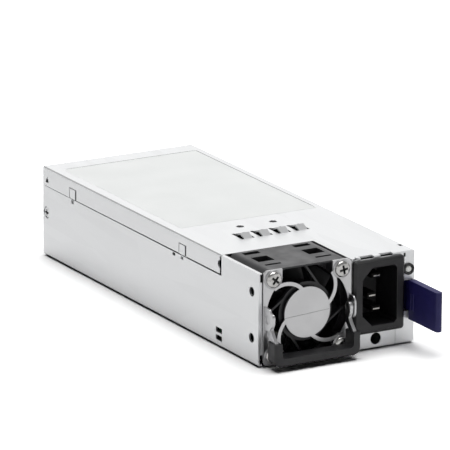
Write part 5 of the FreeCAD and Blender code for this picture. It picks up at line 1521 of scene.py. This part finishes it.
@dataclass
class Studio:
    """Floor, lights and camera.

    Attributes:
        place: where the camera stands, in millimetres.
        azimuth: its bearing round the object, in degrees from the front, below 0 to the left.
        elevation: its height above the horizon, in degrees.
        roll: its turn about its own axis, in degrees.
        lens: its focal length, in millimetres.
        sensor: width of its sensor, in millimetres.
        clip: nearest and furthest distance that it sees, in metres.
        floor_drop: how far the floor lies below the case.
        floor_half: half the floor's side.
        floor_white: how white the floor is in soft light.
        floor_in_gloss: how white it is in gloss and glass.
        floor_lift: what the camera's view of the floor adds to that.
        paper_top: sine of the angle up to which the surroundings are white.
        ceiling_from: sine of the angle from which they are as grey as the ceiling.
        ceiling: how bright the ceiling is.
        world_strength: strength of the soft light from all round.
        boxes: the soft boxes.
    """

    place: tuple[float, float, float] = (-1140.25, -1995.0, 695.3)
    azimuth: float = -29.759
    elevation: float = 16.124
    roll: float = 0.288
    lens: float = 456.65
    sensor: float = 36.0
    clip: tuple[float, float] = (0.1, 20.0)
    floor_drop: float = 0.7
    floor_half: float = 6000.0
    floor_white: float = 0.9
    floor_in_gloss: float = 1.2
    floor_lift: float = 0.45
    paper_top: float = 0.3
    ceiling_from: float = 0.5
    ceiling: float = 0.3
    world_strength: float = 0.01
    boxes: tuple[SoftBox, ...] = (
        SoftBox("soft box above", (100.0, 100.0, 1500.0), 1200.0, 21.5),
        SoftBox("soft box behind", (500.0, 1500.0, 500.0), 1200.0, 2.0))

    def camera(self) -> None:
        """A long lens a little above the object, at the left of its front."""
        data = bpy.data.cameras.new("camera")
        data.lens = self.lens
        data.sensor_width = self.sensor
        data.clip_start, data.clip_end = self.clip
        camera = bpy.data.objects.new("camera", data)
        bpy.context.scene.collection.objects.link(camera)
        bearing, height = math.radians(self.azimuth), math.radians(self.elevation)
        back = Vector((math.sin(bearing) * math.cos(height), -math.cos(bearing) * math.cos(height),
                       math.sin(height)))
        turn = (-back).to_track_quat("-Z", "Y").to_matrix()
        turn = turn @ Matrix.Rotation(math.radians(self.roll), 3, "Z")
        camera.matrix_world = Matrix.Translation(Vector(self.place) * MM) @ turn.to_4x4()
        bpy.context.scene.camera = camera

    def seen(self, tree: Tree) -> Socket:
        """Tell the rays that are seen from those that light.

        Args:
            tree: the node tree that asks.

        Returns:
            1 for a ray from the camera or one that gloss or glass sends on, 0 for soft light, also
            where it came by way of gloss.
        """
        path = add_node(tree, "LightPath").outputs
        seen = path["Is Camera Ray"]
        for kind in ("Is Glossy Ray", "Is Transmission Ray"):
            either = {0: seen, 1: path[kind]}
            seen = add_node(tree, "Math", either, operation="MAXIMUM").outputs["Value"]
        direct = add_node(tree, "Math", {0: path["Diffuse Depth"], 1: 0.5}, operation="LESS_THAN")
        both = {0: seen, 1: direct.outputs["Value"]}
        return add_node(tree, "Math", both, operation="MULTIPLY").outputs["Value"]

    def backdrop(self, tree: Tree) -> Socket:
        """White up to the height of the paper backdrop, and the studio's grey ceiling over it.

        Args:
            tree: the world's node tree.

        Returns:
            How bright the surroundings look that way, which is 1 all over for the camera.
        """
        path = add_node(tree, "LightPath").outputs
        ahead = add_node(tree, "TexCoord").outputs["Generated"]
        height = add_node(tree, "SeparateXYZ", {"Vector": ahead}).outputs["Z"]
        fall = add_node(tree, "MapRange", {
            "Value": height, "From Min": self.paper_top, "From Max": self.ceiling_from,
            "To Min": 1.0, "To Max": self.ceiling}, interpolation_type="SMOOTHSTEP")
        plain = {0: path["Is Camera Ray"], 1: fall.outputs["Result"]}
        return add_node(tree, "Math", plain, operation="MAXIMUM").outputs["Value"]

    def floor(self) -> None:
        """A plain pale floor that the camera sees as white where no shadow falls."""
        half = self.floor_half * MM
        drop = -self.floor_drop * MM
        mesh = bpy.data.meshes.new("floor")
        mesh.from_pydata([(-half, -half, drop), (half, -half, drop), (half, half, drop),
                          (-half, half, drop)], [], [(0, 1, 2, 3)])
        floor = bpy.data.objects.new("floor", mesh)
        bpy.context.scene.collection.objects.link(floor)
        material = bpy.data.materials.new("white paper floor")
        material.use_nodes = True
        tree = material.node_tree
        tree.nodes.clear()
        path = add_node(tree, "LightPath").outputs
        white = add_node(tree, "MapRange", {
            "Value": self.seen(tree), "To Min": self.floor_white, "To Max": self.floor_in_gloss})
        lift = {0: path["Is Camera Ray"], 1: self.floor_lift, 2: white.outputs["Result"]}
        lift = add_node(tree, "Math", lift, operation="MULTIPLY_ADD")
        paper = add_node(tree, "BsdfDiffuse", {"Color": lift.outputs["Value"]})
        add_node(tree, "OutputMaterial", {"Surface": paper.outputs["BSDF"]})
        mesh.materials.append(material)

    def world(self) -> None:
        """Soft white surroundings, seen as plain white by the camera."""
        world = bpy.data.worlds.new("studio")
        bpy.context.scene.world = world
        world.use_nodes = True
        tree = world.node_tree
        tree.nodes.clear()
        white = linear("#FFFFFF")
        soft, plain = (add_node(tree, "Background", {"Color": white, "Strength": strength})
                       for strength in (self.world_strength, self.backdrop(tree)))
        both = add_node(tree, "MixShader", {
            "Fac": self.seen(tree), 1: soft.outputs["Background"], 2: plain.outputs["Background"]})
        add_node(tree, "OutputWorld", {"Surface": both.outputs["Shader"]})

    def build(self) -> None:
        """Set up the camera, the floor and the light."""
        self.camera()
        self.floor()
        self.world()
        for box in self.boxes:
            box.build()
        bpy.context.scene.view_settings.view_transform = "Standard"


def main() -> None:
    """Load the construction model, dress it and set up the studio."""
    logging.basicConfig(level=logging.INFO, format="%(message)s")
    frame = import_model()
    for name, finish in NODE_FINISHES.items():
        mesh = frame["nodes"][name].data
        mesh.materials.clear()
        mesh.materials.append(finish.material())
    builds = [Fasteners(), Indicator(), FrontMarks(), FanRotor(), LatchSpring(),
              RingCoil("emi_choke", 4.0, 0.5, ((15, 165), (195, 345))),
              RingCoil("pfc_inductor", 4.5, 0.62, ((10, 345),)),
              RingCoil("output_inductor", 3.2, 0.7, ((10, 345),)),
              Cans("bulk_capacitor", Axis.FRONT, 1, 1, 14.5),
              Cans("output_capacitors", Axis.Z, 2, 3, 5.0)]
    for built in builds:
        LOG.info("building %s", type(built).__name__)
        built.build()
    Metalwork().build(frame["nodes"])
    Studio().build()


if __name__ == "__main__":
    main()
